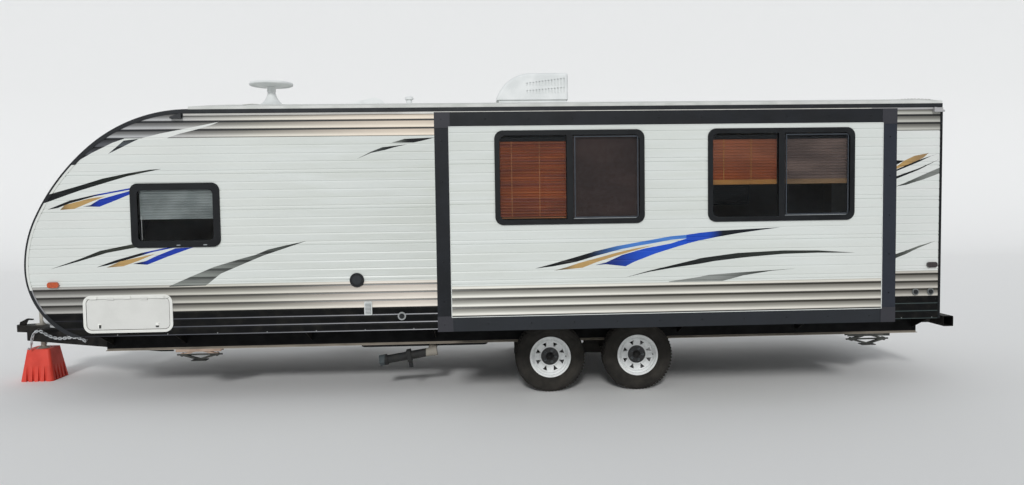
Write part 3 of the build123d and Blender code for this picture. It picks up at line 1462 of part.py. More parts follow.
# Names and files
propane_bottles = Compound(children=[bottle_shape.part.moved(Location((bottle_x, side * bottle_y, 0))) for side in (-1, 1)])
wheel_places = {("road" if side < 0 else "kerb", "front" if x < axle_centre_x else "rear"): (x, side)
                for side in (-1, 1) for x in axle_x}
pieces = {
    "chassis_rails": chassis_rails.part, "cross_members": cross_members.part, "drawbar": drawbar.part,
    "coupler": coupler.part, "safety_chains": safety_chains, "tongue_jack": tongue_jack.part, "jack_block": jack_block.part,
    "axles": axles.part, "springs": springs.part, "hangers": hangers.part, "bumper": bumper.part,
    "stabilisers": stabilisers.part, "floor": floor.part, "road_wall": road_wall.part,
    "kerb_wall": kerb_wall.part, "nose_wall": nose_wall.part, "rear_wall": rear_wall.part,
    "body_siding": body_siding.part, "roof": roof.part, "edge_trim": edge_trim.part,
    "drip_rails": drip_rails.part, "road_wheel_housing": wheel_housing(-1),
    "kerb_wheel_housing": wheel_housing(1), "slide_room": slide_room.part,
    "slide_face": slide_face.part, "slide_siding": slide_siding.part, "slide_fascia": slide_fascia.part,
    "window_frames": window_frames, "window_glass": window_glass, "window_blinds": window_blinds,
    "slide_window_frames": slide_window_frames, "slide_window_glass": slide_window_glass,
    "slide_blinds": slide_blinds, "door_frames": door_frames.part, "road_cargo_door": road_cargo_door,
    "kerb_cargo_door": kerb_cargo_door, "entry_door": entry_door.part, "entry_door_glass": entry_door_glass.part,
    "grab_handle": grab_handle.part, "entry_step": entry_step.part, "awning": awning.part,
    "air_conditioner": air_conditioner.part, "antenna": antenna.part, "roof_vents": roof_vents.part,
    "side_fittings": side_fittings.part, "lamps": lamps.part, "waste_tank": waste_tank.part,
    "propane_bottles": propane_bottles, "battery_box": battery_box.part,
}
for (side_name, end_name), (x, side) in wheel_places.items():
    turn = 0 if side < 0 else 180
    place = Location((x, side * wheel_y, up(tyre_radius)), (0, 0, turn))
    pieces[f"{side_name}_{end_name}_tyre"] = tyre_shape.part.moved(place)
    pieces[f"{side_name}_{end_name}_rim"] = rim_shape.part.moved(place)
for name, piece in pieces.items():
    piece.label = name
    export_step(piece, f"parts/{name}.step")
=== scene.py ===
import bmesh
import bpy
import json
from math import cos, pi, radians, sin
from mathutils import Matrix, Vector


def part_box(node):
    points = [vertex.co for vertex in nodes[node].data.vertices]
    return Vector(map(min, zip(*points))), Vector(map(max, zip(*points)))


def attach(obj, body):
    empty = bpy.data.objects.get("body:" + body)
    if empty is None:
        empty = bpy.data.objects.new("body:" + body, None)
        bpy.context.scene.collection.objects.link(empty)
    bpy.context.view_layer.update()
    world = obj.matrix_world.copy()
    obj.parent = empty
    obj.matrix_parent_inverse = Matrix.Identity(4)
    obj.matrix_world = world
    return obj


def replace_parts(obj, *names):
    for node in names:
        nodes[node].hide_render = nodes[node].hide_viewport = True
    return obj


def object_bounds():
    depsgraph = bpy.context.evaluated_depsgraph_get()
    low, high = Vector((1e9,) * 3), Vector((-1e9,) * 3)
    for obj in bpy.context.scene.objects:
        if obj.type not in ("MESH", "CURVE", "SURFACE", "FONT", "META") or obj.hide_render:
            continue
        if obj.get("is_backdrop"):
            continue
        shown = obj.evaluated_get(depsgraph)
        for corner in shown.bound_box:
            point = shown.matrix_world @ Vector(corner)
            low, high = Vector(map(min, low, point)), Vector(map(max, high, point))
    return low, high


# Travel caravan with an extended slide-out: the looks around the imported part. Metres, +Z up, road side at -Y.
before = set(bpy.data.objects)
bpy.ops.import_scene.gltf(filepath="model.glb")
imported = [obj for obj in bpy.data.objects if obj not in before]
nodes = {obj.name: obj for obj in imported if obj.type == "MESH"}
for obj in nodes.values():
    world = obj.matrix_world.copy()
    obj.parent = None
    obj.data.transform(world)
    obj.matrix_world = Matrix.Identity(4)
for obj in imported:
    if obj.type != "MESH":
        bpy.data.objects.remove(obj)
scene = bpy.context.scene


def plain_bounds():
    return json.loads(json.dumps(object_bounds(), default=lambda v: [round(float(x), 4) for x in v]))


bounds_first = plain_bounds()
ground = bounds_first[0][2]


def colour(code):
    parts = [int(code[i:i + 2], 16) / 255 for i in (1, 3, 5)]
    linear = [v / 12.92 if v < 0.04045 else ((v + 0.055) / 1.055) ** 2.4 for v in parts]
    return (*linear, 1.0)


# Wraps one output socket of a node tree; arithmetic on it adds nodes, each comparison gives 1 or 0
class Term:
    def __init__(self, tree, socket):
        self.tree, self.socket = tree, socket

    # Makes any node: its settings first, then its inputs by name or index
    def node(self, kind, settings, inputs, out=0):
        made = self.tree.nodes.new(kind)
        for key, value in settings.items():
            setattr(made, key, value)
        for key, value in inputs.items():
            if isinstance(value, Term):
                self.tree.links.new(value.socket, made.inputs[key])
            else:
                made.inputs[key].default_value = value
        return Term(self.tree, made.outputs[out])

    def math(self, operation, *values):
        return self.node("ShaderNodeMath", {"operation": operation}, dict(enumerate(values)))

    def vector(self, operation, *values):
        return self.node("ShaderNodeVectorMath", {"operation": operation}, dict(enumerate(values)))

    def __add__(self, other):
        return self.math("ADD", self, other)

    def __radd__(self, other):
        return self.math("ADD", other, self)

    def __sub__(self, other):
        return self.math("SUBTRACT", self, other)

    def __rsub__(self, other):
        return self.math("SUBTRACT", other, self)

    def __mul__(self, other):
        return self.math("MULTIPLY", self, other)

    def __rmul__(self, other):
        return self.math("MULTIPLY", other, self)

    def __truediv__(self, other):
        return self.math("DIVIDE", self, other)

    def __gt__(self, other):
        return self.math("GREATER_THAN", self, other)

    def __lt__(self, other):
        return self.math("LESS_THAN", self, other)

    def abs(self):
        return self.math("ABSOLUTE", self)

    def root(self):
        return self.math("SQRT", self)

    def fract(self):
        return self.math("FRACT", self)

    def most(self, other):
        return self.math("MAXIMUM", self, other)

    def least(self, other):
        return self.math("MINIMUM", self, other)

    def ramp(self, low, high, to_low=0.0, to_high=1.0, smooth=True):
        kind = "SMOOTHSTEP" if smooth else "LINEAR"
        return self.node("ShaderNodeMapRange", {"interpolation_type": kind, "clamp": True},
                         {0: self, 1: low, 2: high, 3: to_low, 4: to_high})

    # Colours along this term's way from 0 to 1
    def colours(self, *stops):
        made = self.node("ShaderNodeValToRGB", {}, {0: self})
        elements = made.socket.node.color_ramp.elements
        for element, (at, code) in zip((elements[0], elements[1]), (stops[0], stops[-1])):
            element.position, element.color = at, colour(code)
        for at, code in stops[1:-1]:
            elements.new(at).color = colour(code)
        return made

    # This term is the factor between two values
    def blend_value(self, off, on):
        return self.node("ShaderNodeMix", {"data_type": "FLOAT", "clamp_factor": True},
                         {0: self, 2: off, 3: on})

    # This term is the factor between two colours, each a term or a code
    def blend(self, off, on):
        off, on = (colour(side) if isinstance(side, str) else side for side in (off, on))
        return self.node("ShaderNodeMix", {"data_type": "RGBA", "clamp_factor": True},
                         {0: self, 6: off, 7: on}, out=2)

    # This tone under further ones, each given as a mask and what shows where the mask is 1
    def layered(self, *layers):
        tone = self
        for mask, over in layers:
            tone = mask.blend(tone, over)
        return tone

    # This colour times another
    def tinted(self, other):
        return self.node("ShaderNodeMix", {"data_type": "RGBA", "blend_type": "MULTIPLY"},
                         {0: 1.0, 6: self, 7: other}, out=2)


# A Principled material with the object's own place as its coordinates
class Finish:
    def __init__(self, name, slot, **constants):
        self.slot = slot
        self.material = bpy.data.materials.new(name)
        self.material.use_nodes = True
        self.tree = self.material.node_tree
        self.shader = self.tree.nodes["Principled BSDF"]
        for key, value in constants.items():
            self.shader.inputs[key.replace("_", " ")].default_value = value
        place = self.tree.nodes.new("ShaderNodeTexCoord")
        self.place = Term(self.tree, place.outputs["Object"])
        split = self.tree.nodes.new("ShaderNodeSeparateXYZ")
        self.tree.links.new(self.place.socket, split.inputs[0])
        self.x, self.y, self.z = (Term(self.tree, split.outputs[i]) for i in range(3))

    def stretched(self, x, y, z):
        return self.place.vector("MULTIPLY", self.place, (x, y, z))

    def noise(self, scale, detail=2.0, place=None, low=0.3, high=0.7):
        found = self.place.node("ShaderNodeTexNoise", {"noise_dimensions": "3D"},
                                {"Vector": place or self.place, "Scale": scale, "Detail": detail})
        return found.ramp(low, high)

    # Two colours in patches
    def mottled(self, base, shade, *noise, **limits):
        return self.noise(*noise, **limits).blend(base, shade)

    def bump(self, height, depth, under=None):
        inputs = {"Height": height, "Distance": depth, "Strength": 1.0}
        if under:
            inputs["Normal"] = under
        return self.place.node("ShaderNodeBump", {}, inputs)

    def set(self, **terms):
        for key, term in terms.items():
            target = self.shader.inputs[key.replace("_", " ")]
            if isinstance(term, Term):
                self.tree.links.new(term.socket, target)
            else:
                target.default_value = term
        return self

    # A tone, roughness in patches between two values, and a grain in the surface
    def surface(self, tone, patch, rough, grain, detail, depth):
        return self.set(Base_Color=tone, Roughness=self.noise(patch).ramp(0, 1, *rough),
                        Normal=self.bump(self.noise(grain, detail), depth))


# Paint, plastic or metal with uneven tone, road dust towards the ground and a fine surface
def worn(name, slot, base, shade, rough=0.45, metal=0.0, dust=0.25, dust_colour="#8b8375", grain=90.0,
         depth=0.0003, patch=6.0, chips=None, coat=0.0, gloss=0.5, marks=None):
    f = Finish(name, slot, Metallic=metal, Coat_Weight=coat, Coat_Roughness=0.2, Specular_IOR_Level=gloss)
    patches = f.noise(patch, 4.0)
    tone = patches.blend(base, shade)
    low = f.z.ramp(ground, 0.7, 1.0, 0.0)
    speck = f.noise(9.0, 5.0, low=0.25, high=0.8)
    tone = (low * speck * dust * 0.3).blend(tone, dust_colour)
    if chips:
        spots = f.noise(70.0, 3.0, low=0.68, high=0.72) * f.noise(5.0, low=0.5, high=0.65)
        tone = spots.blend(tone, chips)
    if marks:
        tone = tone.layered(*marks(f))
    fine = f.noise(grain, 5.0)
    return f.set(Base_Color=tone, Roughness=patches.ramp(0, 1, rough, rough + 0.12) + low * dust * 0.4,
                 Normal=f.bump(fine, depth))


# Graphics on the siding: colours in front and behind, where one turns into the other, then X and height above
# the ground along the upper and the lower edge, and how strongly the ribs shade it
swoosh_columns = ("near", "far", "from_x", "to_x", "upper", "lower", "ribs")


def swoosh_rows(*rows):
    return [dict(zip(swoosh_columns, row)) for row in rows]


white, black, gold, blue, grey = "#dfe1dd", "#101316", "#b5945f", "#1a38a0", "#565a57"
body_swooshes = swoosh_rows(
    # the dark spear under the silver band at the nose, and the wedge behind it
    ("#45474c", "#66676b", 1.2, 1.7,
     [(1.10, 2.44), (1.67, 2.44), (1.675, 2.43)],
     [(1.10, 2.13), (1.20, 2.20), (1.385, 2.305), (1.57, 2.395), (1.675, 2.43)], 1.0),
    ("#454a4e", "#5a5f62", 1.53, 1.81,
     [(1.53, 2.295), (1.675, 2.415), (1.81, 2.43)],
     [(1.53, 2.295), (1.81, 2.43)], 1.0),
    # the white stroke up through the silver band
    (white, white, 0, 1,
     [(1.81, 2.43), (2.00, 2.475), (2.265, 2.525), (2.525, 2.575)],
     [(1.81, 2.425), (2.03, 2.425), (2.165, 2.47), (2.33, 2.51), (2.465, 2.55), (2.525, 2.575)]),
    # long black strokes from the nose
    (black, "#22261f", 1.0, 1.9,
     [(0.74, 1.85), (0.97, 1.93), (1.255, 2.01), (1.475, 2.075), (1.70, 2.12), (1.895, 2.15),
      (2.00, 2.155)],
     [(0.74, 1.775), (0.91, 1.845), (1.255, 1.965), (1.475, 2.03), (1.70, 2.095), (1.895, 2.135),
      (2.00, 2.155)]),
    (black, "#33362f", 1.0, 1.7,
     [(0.98, 1.26), (1.245, 1.35), (1.425, 1.42), (1.715, 1.475), (1.80, 1.50)],
     [(0.98, 1.26), (1.245, 1.33), (1.485, 1.40), (1.775, 1.45), (1.80, 1.455)]),
    # upper cluster: line, gold and blue
    (black, blue, 1.35, 1.50,
     [(0.975, 1.80), (1.175, 1.88), (1.40, 1.93), (1.765, 1.995)],
     [(0.975, 1.80), (1.07, 1.815), (1.175, 1.855), (1.395, 1.915), (1.765, 1.98)]),
    ("#8a7350", gold, 1.10, 1.20,
     [(1.085, 1.795), (1.13, 1.84), (1.345, 1.895), (1.495, 1.915)],
     [(1.085, 1.795), (1.215, 1.805), (1.375, 1.87), (1.495, 1.915)]),
    ("#10183c", blue, 1.33, 1.45,
     [(1.29, 1.825), (1.355, 1.835), (1.435, 1.885), (1.765, 1.975)],
     [(1.29, 1.825), (1.435, 1.82), (1.54, 1.86), (1.765, 1.95)]),
    # lower cluster under the window
    (black, blue, 1.78, 1.88,
     [(1.385, 1.27), (1.555, 1.33), (1.795, 1.395), (2.00, 1.435), (2.10, 1.45)],
     [(1.385, 1.27), (1.48, 1.285), (1.72, 1.35), (1.89, 1.40), (2.10, 1.44)]),
    ("#8a7350", gold, 1.50, 1.62,
     [(1.475, 1.265), (1.60, 1.32), (1.915, 1.385)],
     [(1.475, 1.265), (1.625, 1.275), (1.77, 1.325), (1.915, 1.385)]),
    ("#10183c", blue, 1.76, 1.87,
     [(1.71, 1.295), (1.83, 1.32), (1.915, 1.36), (2.095, 1.43), (2.265, 1.44)],
     [(1.71, 1.295), (1.84, 1.285), (2.035, 1.36), (2.265, 1.44)]),
    # grey diagonal up from the silver band
    ("#858984", "#4a4e4a", 2.3, 3.0,
     [(2.03, 1.085), (2.23, 1.17), (2.44, 1.255), (2.685, 1.325), (2.82, 1.36), (2.93, 1.405),
      (3.04, 1.43), (3.285, 1.48)],
     [(2.03, 1.08), (2.36, 1.085), (2.495, 1.19), (2.675, 1.265), (2.885, 1.35), (3.04, 1.40),
      (3.285, 1.48)], 0.8),
    # two darts in front of the slide-out
    (grey, black, 3.8, 4.1,
     [(3.76, 2.225), (3.89, 2.29), (3.995, 2.33), (4.225, 2.355)],
     [(3.76, 2.225), (3.895, 2.28), (4.02, 2.305), (4.11, 2.33), (4.225, 2.355)]),
    ("#6c706a", black, 4.1, 4.25,
     [(4.08, 2.37), (4.20, 2.405), (4.48, 2.415)],
     [(4.08, 2.37), (4.285, 2.37), (4.38, 2.39), (4.48, 2.415)]),
    # behind the slide-out
    (gold, "#9a7f5a", 8.9, 9.1,
     [(8.60, 1.90), (8.85, 2.09), (8.93, 2.15), (9.03, 2.195), (9.17, 2.22)],
     [(8.60, 1.88), (8.85, 2.07), (9.02, 2.13), (9.115, 2.175), (9.17, 2.22)]),
    (black, black, 0, 1,
     [(8.60, 2.15), (8.85, 2.155), (8.93, 2.15)],
     [(8.60, 1.92), (8.85, 2.11), (8.93, 2.15)]),
    (black, "#2a2c28", 8.9, 9.2,
     [(8.60, 1.92), (8.85, 2.065), (9.07, 2.155), (9.265, 2.215)],
     [(8.60, 1.90), (8.85, 2.05), (9.07, 2.135), (9.19, 2.19), (9.265, 2.215)]),
    (black, "#2a2c28", 8.9, 9.2,
     [(8.60, 1.87), (8.845, 2.00), (9.07, 2.075), (9.275, 2.16)],
     [(8.60, 1.85), (8.845, 1.975), (9.07, 2.06), (9.275, 2.16)]),
    ("#3a3e3a", "#7b7e7a", 8.9, 9.2,
     [(8.845, 1.905), (8.93, 1.935), (9.12, 2.015), (9.29, 2.085)],
     [(8.845, 1.905), (8.95, 1.92), (9.12, 1.97), (9.29, 2.03)]),
    ("#3a3e3a", "#6c706a", 8.85, 9.1,
     [(8.60, 1.20), (8.84, 1.255), (8.94, 1.285), (9.08, 1.335), (9.25, 1.38)],
     [(8.60, 1.12), (8.84, 1.215), (8.95, 1.255), (9.08, 1.315), (9.25, 1.38)]),
)
slide_swooshes = swoosh_rows(
    (black, "#4a7cc4", 5.75, 6.15,
     [(5.325, 1.255), (5.465, 1.29), (5.65, 1.34), (5.83, 1.39), (6.01, 1.43), (6.195, 1.46),
      (6.47, 1.505), (6.605, 1.515)],
     [(5.325, 1.255), (5.475, 1.27), (5.675, 1.305), (5.83, 1.35), (6.055, 1.405), (6.195, 1.43),
      (6.325, 1.45), (6.47, 1.475), (6.605, 1.485)]),
    ("#1d48b4", "#14181f", 6.76, 6.92,
     [(6.60, 1.515), (6.715, 1.53), (6.885, 1.545), (7.13, 1.555), (7.405, 1.565)],
     [(6.60, 1.44), (6.71, 1.465), (6.875, 1.495), (7.035, 1.52), (7.23, 1.545), (7.405, 1.565)]),
    ("#1a2a6e", "#1f4fc0", 5.9, 6.3,
     [(5.83, 1.275), (5.92, 1.295), (6.055, 1.355), (6.24, 1.405), (6.47, 1.445), (6.605, 1.485)],
     [(5.83, 1.275), (5.92, 1.28), (6.085, 1.26), (6.155, 1.295), (6.33, 1.36), (6.515, 1.415),
      (6.605, 1.44)]),
    ("#6e5f48", gold, 5.55, 5.68,
     [(5.485, 1.235), (5.585, 1.26), (5.695, 1.295), (5.875, 1.34), (6.01, 1.375), (6.15, 1.405),
      (6.33, 1.435)],
     [(5.485, 1.235), (5.725, 1.255), (5.83, 1.295), (6.01, 1.35), (6.195, 1.40), (6.33, 1.435)]),
    (black, "#2c302c", 6.2, 7.6,
     [(6.075, 1.165), (6.285, 1.22), (6.515, 1.27), (6.74, 1.32), (7.035, 1.355), (7.425, 1.37),
      (7.725, 1.365), (8.05, 1.34)],
     [(6.075, 1.165), (6.285, 1.21), (6.515, 1.245), (6.715, 1.27), (6.835, 1.29), (7.13, 1.32),
      (7.425, 1.34), (7.725, 1.345), (8.05, 1.34)]),
    ("#8b8e8a", "#2c302c", 6.8, 7.3,
     [(6.45, 1.125), (6.715, 1.16), (6.79, 1.175), (7.035, 1.19), (7.33, 1.205), (7.545, 1.215)],
     [(6.45, 1.12), (6.905, 1.12), (7.085, 1.165), (7.33, 1.20), (7.545, 1.215)]),
)


# Height of an edge line at each X
def edge_line(f, points):
    first, last = points[0][0], points[-1][0]
    low, high = min(p[1] for p in points) - 0.01, max(p[1] for p in points) + 0.01
    along = f.x.ramp(first, last, smooth=False)
    made = f.tree.nodes.new("ShaderNodeFloatCurve")
    curve = made.mapping.curves[0]
    scaled = [((x - first) / (last - first), (h - low) / (high - low)) for x, h in points]
    for place, value in scaled[1:-1]:
        curve.points.new(place, value)
    for point, (place, value) in zip(sorted(curve.points, key=lambda p: p.location[0]), scaled):
        point.location = (place, value)
        point.handle_type = "VECTOR"
    made.mapping.update()
    f.tree.links.new(along.socket, made.inputs["Value"])
    return Term(f.tree, made.outputs[0]) * (high - low) + low


# Strokes of paint over a tone; a stroke with ribs gets painted shade under each rib
def painted(f, height, tone, swooshes, side, shade=0.0):
    for row in swooshes:
        upper, lower = row["upper"], row["lower"]
        inside = (height < edge_line(f, upper)) * (height > edge_line(f, lower)) * side
        inside = inside * (f.x > min(upper[0][0], lower[0][0])) * (f.x < max(upper[-1][0], lower[-1][0]))
        paint = f.x.ramp(row["from_x"], row["to_x"]).blend(row["near"], row["far"])
        if "ribs" in row:
            # Painted shade of the rib over the stroke
            paint = (shade * row["ribs"]).blend(paint, "#191a1b")
        tone = inside.blend(tone, paint)
    return tone


# Ribbed aluminium siding: white sheets between silver bands, a black skirt, strokes of paint, light wear
band_height, band_pitch = 1.0685, 0.0735      # top of the lower silver band, and its ribs
black_height, band_lip = 0.8505, 0.028        # top of the black skirt, and the silver over the band's top
seam_height, rib_pitch = 2.4347, 0.0747       # foot of the upper silver band, and the white sheets' ribs
line_full, line_gone = 0.009, 0.016           # shadow under each rib
glint_starts, glint_ends = (0.001, 0.004), (0.009, 0.014)     # light on a skirt rib, above the next line
# Where along X the painted pale reflection of the sky on the silver ribs rises and ends, and how strong it gets
sheen_from_x, sheen_to_x, sheen_end_x, sheen_most = 2.6, 4.2, 6.0, 0.6
half_body = 1.219
# Tones along the trailer, as shares of the way between two places along X
tones_from_x, tones_to_x = 0.5, 9.5
# The white sheets a little lighter towards both ends: painted light that lifts the shade there
sheet_tones = ((0.03, "#dbddd9"), (0.2, "#dbded9"), (0.32, "#d3d7d1"), (0.75, "#d5d9d3"), (0.95, "#dcdedb"))
# The silver bands darker towards the nose and lightest just in front of the slide-out and on its front half,
# where the light part is a painted reflection of the sky
top_tones = ((0.04, "#b2b6c0"), (0.17, "#bec0c9"), (0.27, "#eceae8"), (0.42, "#fffaf2"), (0.85, "#d8d8d6"),
             (1.0, "#b9babb"))
body_silver = ((0.03, "#b8b8bc"), (0.11, "#bcbcbe"), (0.21, "#dbdad7"), (0.42, "#ffffff"), (0.85, "#d0cdcc"),
               (1.0, "#cdcac9"))
slide_silver = ((0.5, "#ffffff"), (0.7, "#f4f2f0"), (0.9, "#e0dedc"))
skirt_shine = ((0.08, "#25252b"), (0.2, "#5c5e64"), (0.40, "#a9a9ad"), (0.44, "#b4b4b8"), (0.9, "#3e4848"))


# Silver over one rib, with painted light: the dark line is painted shadow under the rib, the grey under it
# painted shade, and the near white above the next line a painted highlight
def ribbed(silver, below, pitch, sky_sheen, rib_shadow_code="#3d3b35"):
    share = below / pitch
    over = share.colours((0.0, rib_shadow_code), (0.13, rib_shadow_code), (0.24, "#8b8981"), (0.45, "#a5a39b"),
                         (0.62, "#cbc9c0"), (0.78, "#f6f4ea"), (0.88, "#f0eee4"), (0.95, "#a19f97"),
                         (1.0, rib_shadow_code))
    # A painted pale reflection of the sky over the rib, as strong as the sheen factor; the line of painted
    # shadow stays clear of it
    over = (sky_sheen * share.ramp(0.13, 0.2) * share.ramp(0.92, 0.96, 1, 0)).blend(over, "#fbeee2")
    return over.tinted(silver)


def siding(name, lift, swooshes, side_y, silver_tones, has_top):
    f = Finish(name, "siding", Coat_Roughness=0.2, Specular_IOR_Level=0.15)
    plain = f.z - ground
    height = f.z - (ground + lift)
    along = f.x.ramp(tones_from_x, tones_to_x, smooth=False)
    streaks = f.noise(2.2, 4.0, f.stretched(0.6, 0.6, 7))
    tone = streaks.blend(along.colours(*sheet_tones), "#dadeda")
    tone = (f.noise(0.8, 2.0) * 0.35).blend(tone, "#cdd1cc")

    # Silver bands, with a painted pale reflection of the sky on their ribs in front of the slide-out
    band_below = ((band_height - height) / band_pitch).fract() * band_pitch
    rib_below = ((seam_height - height) / rib_pitch).fract() * rib_pitch
    sky_sheen = 0.0
    if has_top:
        sky_sheen = f.x.ramp(sheen_from_x, sheen_to_x, 0, sheen_most) * (f.x < sheen_end_x)
        top = ribbed(along.colours(*top_tones), rib_below, rib_pitch, sky_sheen, "#2f3032")
        tone = (height > seam_height).blend(tone, top)
    dull = f.noise(1.5, 3.0, f.stretched(1, 1, 9)) * 0.12
    silver = dull.blend(along.colours(*silver_tones), "#9a9a96")
    in_band = (height < band_height + band_lip) * (height > black_height)
    tone = in_band.blend(tone, ribbed(silver, band_below, band_pitch, sky_sheen))

    # Black skirt, whose ribs catch the light just above each line
    above_next = band_pitch - band_below
    glint = above_next.ramp(*glint_starts) * above_next.ramp(*glint_ends, 1, 0)
    is_black = height < black_height
    tone = is_black.blend(tone, glint.blend("#030405", along.colours(*skirt_shine)))

    # Painted shadow under each rib of the white sheets, fading into painted shade down the rib, for the ribbed
    # strokes
    rib_shadow = rib_below.ramp(line_full, line_gone, 1, 0)
    shade = rib_shadow.most(rib_below.ramp(0.013, rib_pitch * 0.8, 0.75, 0))
    tone = painted(f, plain, tone, swooshes, f.y.abs() > side_y, shade)
    dust = plain.ramp(0.6, 1.5, 1, 0) * f.noise(10.0, 5.0, low=0.4, high=0.8) * 0.04
    waves = f.noise(1.7, 2.0, f.stretched(1, 1, 3))
    return f.set(Base_Color=dust.blend(tone, "#86806f"),
                 Roughness=streaks.ramp(0, 1, 0.36, 0.46) + is_black * 0.2,
                 Normal=f.bump(f.noise(160.0, 3.0), 0.0001, f.bump(waves, 0.003)),
                 Coat_Weight=is_black.blend_value(0.15, 0.0))


body_siding = siding("body_siding_paint", 0.0, body_swooshes, 1.2, body_silver, True)
slide_siding = siding("slide_siding_paint", 0.022, slide_swooshes, 2.0, slide_silver, False)

# The curved nose: white sheets, silver above, black below, stained where the rain runs
silver_foot, chin_rise = 2.2, 0.2
nose = Finish("nose_siding_paint", "siding", Coat_Weight=0.1, Coat_Roughness=0.2)
nose_height = nose.z - ground
nose_tone = nose.mottled("#d6d8d3", "#dee0dc", 3.0, 4.0, nose.stretched(0.4, 9, 0.4)).layered(
    (nose_height > silver_foot, nose.mottled("#6f757d", "#85898f", 2.0)),
    (nose_height < black_height + chin_rise, "#1d2023"))
nose.surface(nose_tone, 5.0, (0.34, 0.46), 1.7, 2.0, 0.003)

# Edge trim: dark, its face white along the nose and grey beside the silver band, inside a dark insert.
# The nose's arcs are radius and sweep in degrees, from the roof's line forward and down.
nose_top_x, nose_top_height = 2.254, 2.690
nose_arcs = [(1.387, 40), (1.966, 24), (1.059, 26), (0.687, 65.5)]
insert_width = 0.014


# How far inside the nose's outline a place is, as it shows from the side
def inside_nose(f, height):
    x, z, heading = nose_top_x, nose_top_height, 0.0
    depth = None
    for radius, turn in nose_arcs:
        centre = (x + radius * sin(heading), z - radius * cos(heading))
        across, up = f.x - centre[0], height - centre[1]
        found = radius - (across * across + up * up).root()
        depth = found if depth is None else (height < z).blend_value(depth, found)
        heading += radians(turn)
        x, z = centre[0] - radius * sin(heading), centre[1] + radius * cos(heading)
    return depth


trim = Finish("edge_trim_paint", "black_trim", Coat_Weight=0.1, Coat_Roughness=0.2, Specular_IOR_Level=0.3)
trim_height = trim.z - ground
trim_depth = inside_nose(trim, trim_height)
trim_front = (trim.x < 4.0) * (trim.y.abs() > half_body - 0.004)
trim_light = (trim_height > band_height) * (trim_height < silver_foot) * trim_front
trim_silver = (trim_height < band_height) * (trim_height > black_height) * trim_front
trim_tone = trim.mottled("#17191c", "#202327", 5.0, 3.0).layered(
    (trim_light * (trim_depth > insert_width), "#d8dad5"),
    (trim_silver * (trim_depth > insert_width * 1.7), "#8d8d8f"))
trim_tone = painted(trim, trim_height, trim_tone, body_swooshes[3:4], trim.y.abs() > 1.2)
trim.surface(trim_tone, 9.0, (0.4, 0.55), 60.0, 2.0, 0.0002)

# Drip rail: pale, duller in front of the slide-out and lighter above and behind it, where the lighter tone is
# painted light; its front spout black and its rear one grey
spout_reach, dull_to_x, rear_spout_x = 0.112, (4.1, 4.3), 8.6
drip = Finish("drip_rail_paint", "silver_rail", Coat_Weight=0.0)
# The lighter tone from above the slide-out back is painted light
drip_tone = drip.x.ramp(*dull_to_x).blend("#bdbbb6", "#e4e2dc").layered(
    (drip.x > rear_spout_x, "#a9a8a9"), (drip.noise(8.0, 3.0) * 0.3, "#a8a6a0"),
    (drip.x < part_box("drip_rails")[0].x + spout_reach, "#1b1e21"))
drip.surface(drip_tone, 12.0, (0.4, 0.5), 80.0, 2.0, 0.0002)

# Chassis rails: black, the lower flange's edge pale with dust and a painted highlight where it catches the
# light
rail_paint = Finish("rail_paint", "chassis_paint", Specular_IOR_Level=0.15)
rail_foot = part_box("chassis_rails")[0].z
rail_edge = rail_paint.z.ramp(rail_foot + 0.014, rail_foot + 0.020, 1, 0)
# Pale tones for the flange's edge: dust, and painted highlight
rail_dust_and_highlight = rail_paint.mottled("#857d72", "#a89f92", 5.0, 4.0, low=0.2, high=0.7)
rail_tone = rail_edge.blend(rail_paint.mottled("#030304", "#08090a", 6.0, 4.0), rail_dust_and_highlight)
rail_paint.surface(rail_tone, 9.0, (0.5, 0.65), 90.0, 4.0, 0.0003)


# Luggage doors: two pale latches near the foot, each with a dark slot that is painted shade in its recess, as
# masks and colours
def cargo_latches(f):
    first_x, second_x, latch_z, half_wide, half_tall = 1.396, 1.912, 0.202, 0.0135, 0.021
    low = (f.z - latch_z).abs() < half_tall
    first, second = (low * ((f.x - x).abs() < half_wide) for x in (first_x, second_x))
    return [(first + second, "#f0f0ea"),
            # The dark slots: painted shade in the latches' recesses
            (first * (f.z < latch_z + 0.010) * (f.x > first_x - 0.004), "#2f302c"),
            (second * (f.z < latch_z - 0.004), "#2f302c")]


# Outlet under the road side: grey elbow, slate cap
def outlet_marks(f):
    outlet_y, elbow_x, cap_x = -0.8, 4.345, 3.95
    outside = f.y < outlet_y
    return [(outside * (f.x > elbow_x), "#8f8a80"), (outside * (f.x < cap_x), "#454c4e")]


chassis = worn("black_frame_paint", "chassis_paint", "#060607", "#0d0e0f", 0.5, dust=0.4, chips="#3d2a1e",
               gloss=0.2)
jack_steel = worn("jack_steel", "jack_steel", "#b9b4a8", "#96928a", 0.4, metal=0.4, dust=0.3, chips="#5f4a38")
red_plastic = worn("red_plastic", "red_plastic", "#e2422f", "#cc3726", 0.5, dust=0.2, grain=140.0)
rubber = worn("tyre_rubber", "tyre", "#252422", "#2e2c2a", 0.8, dust=0.6, dust_colour="#6c665c", grain=220.0,
              gloss=0.25)
white_panel = worn("white_panel", "white_panel", "#dfe0dc", "#d2d4cf", 0.4, dust=0.08, coat=0.2)
lining = worn("wall_lining", "white_panel", "#b9a892", "#c7b8a2", 0.6, dust=0.0)
membrane = worn("roof_membrane", "roof_membrane", "#d9dad6", "#c9cbc6", 0.6, dust=0.0, grain=60.0,
                depth=0.0008)
underbelly = worn("underbelly", "floor_board", "#1d1f21", "#292b2d", 0.7, dust=0.4, grain=30.0, depth=0.001)
black_trim = worn("window_frame_black", "black_trim", "#0c0e11", "#131619", 0.42, dust=0.05, gloss=0.25)
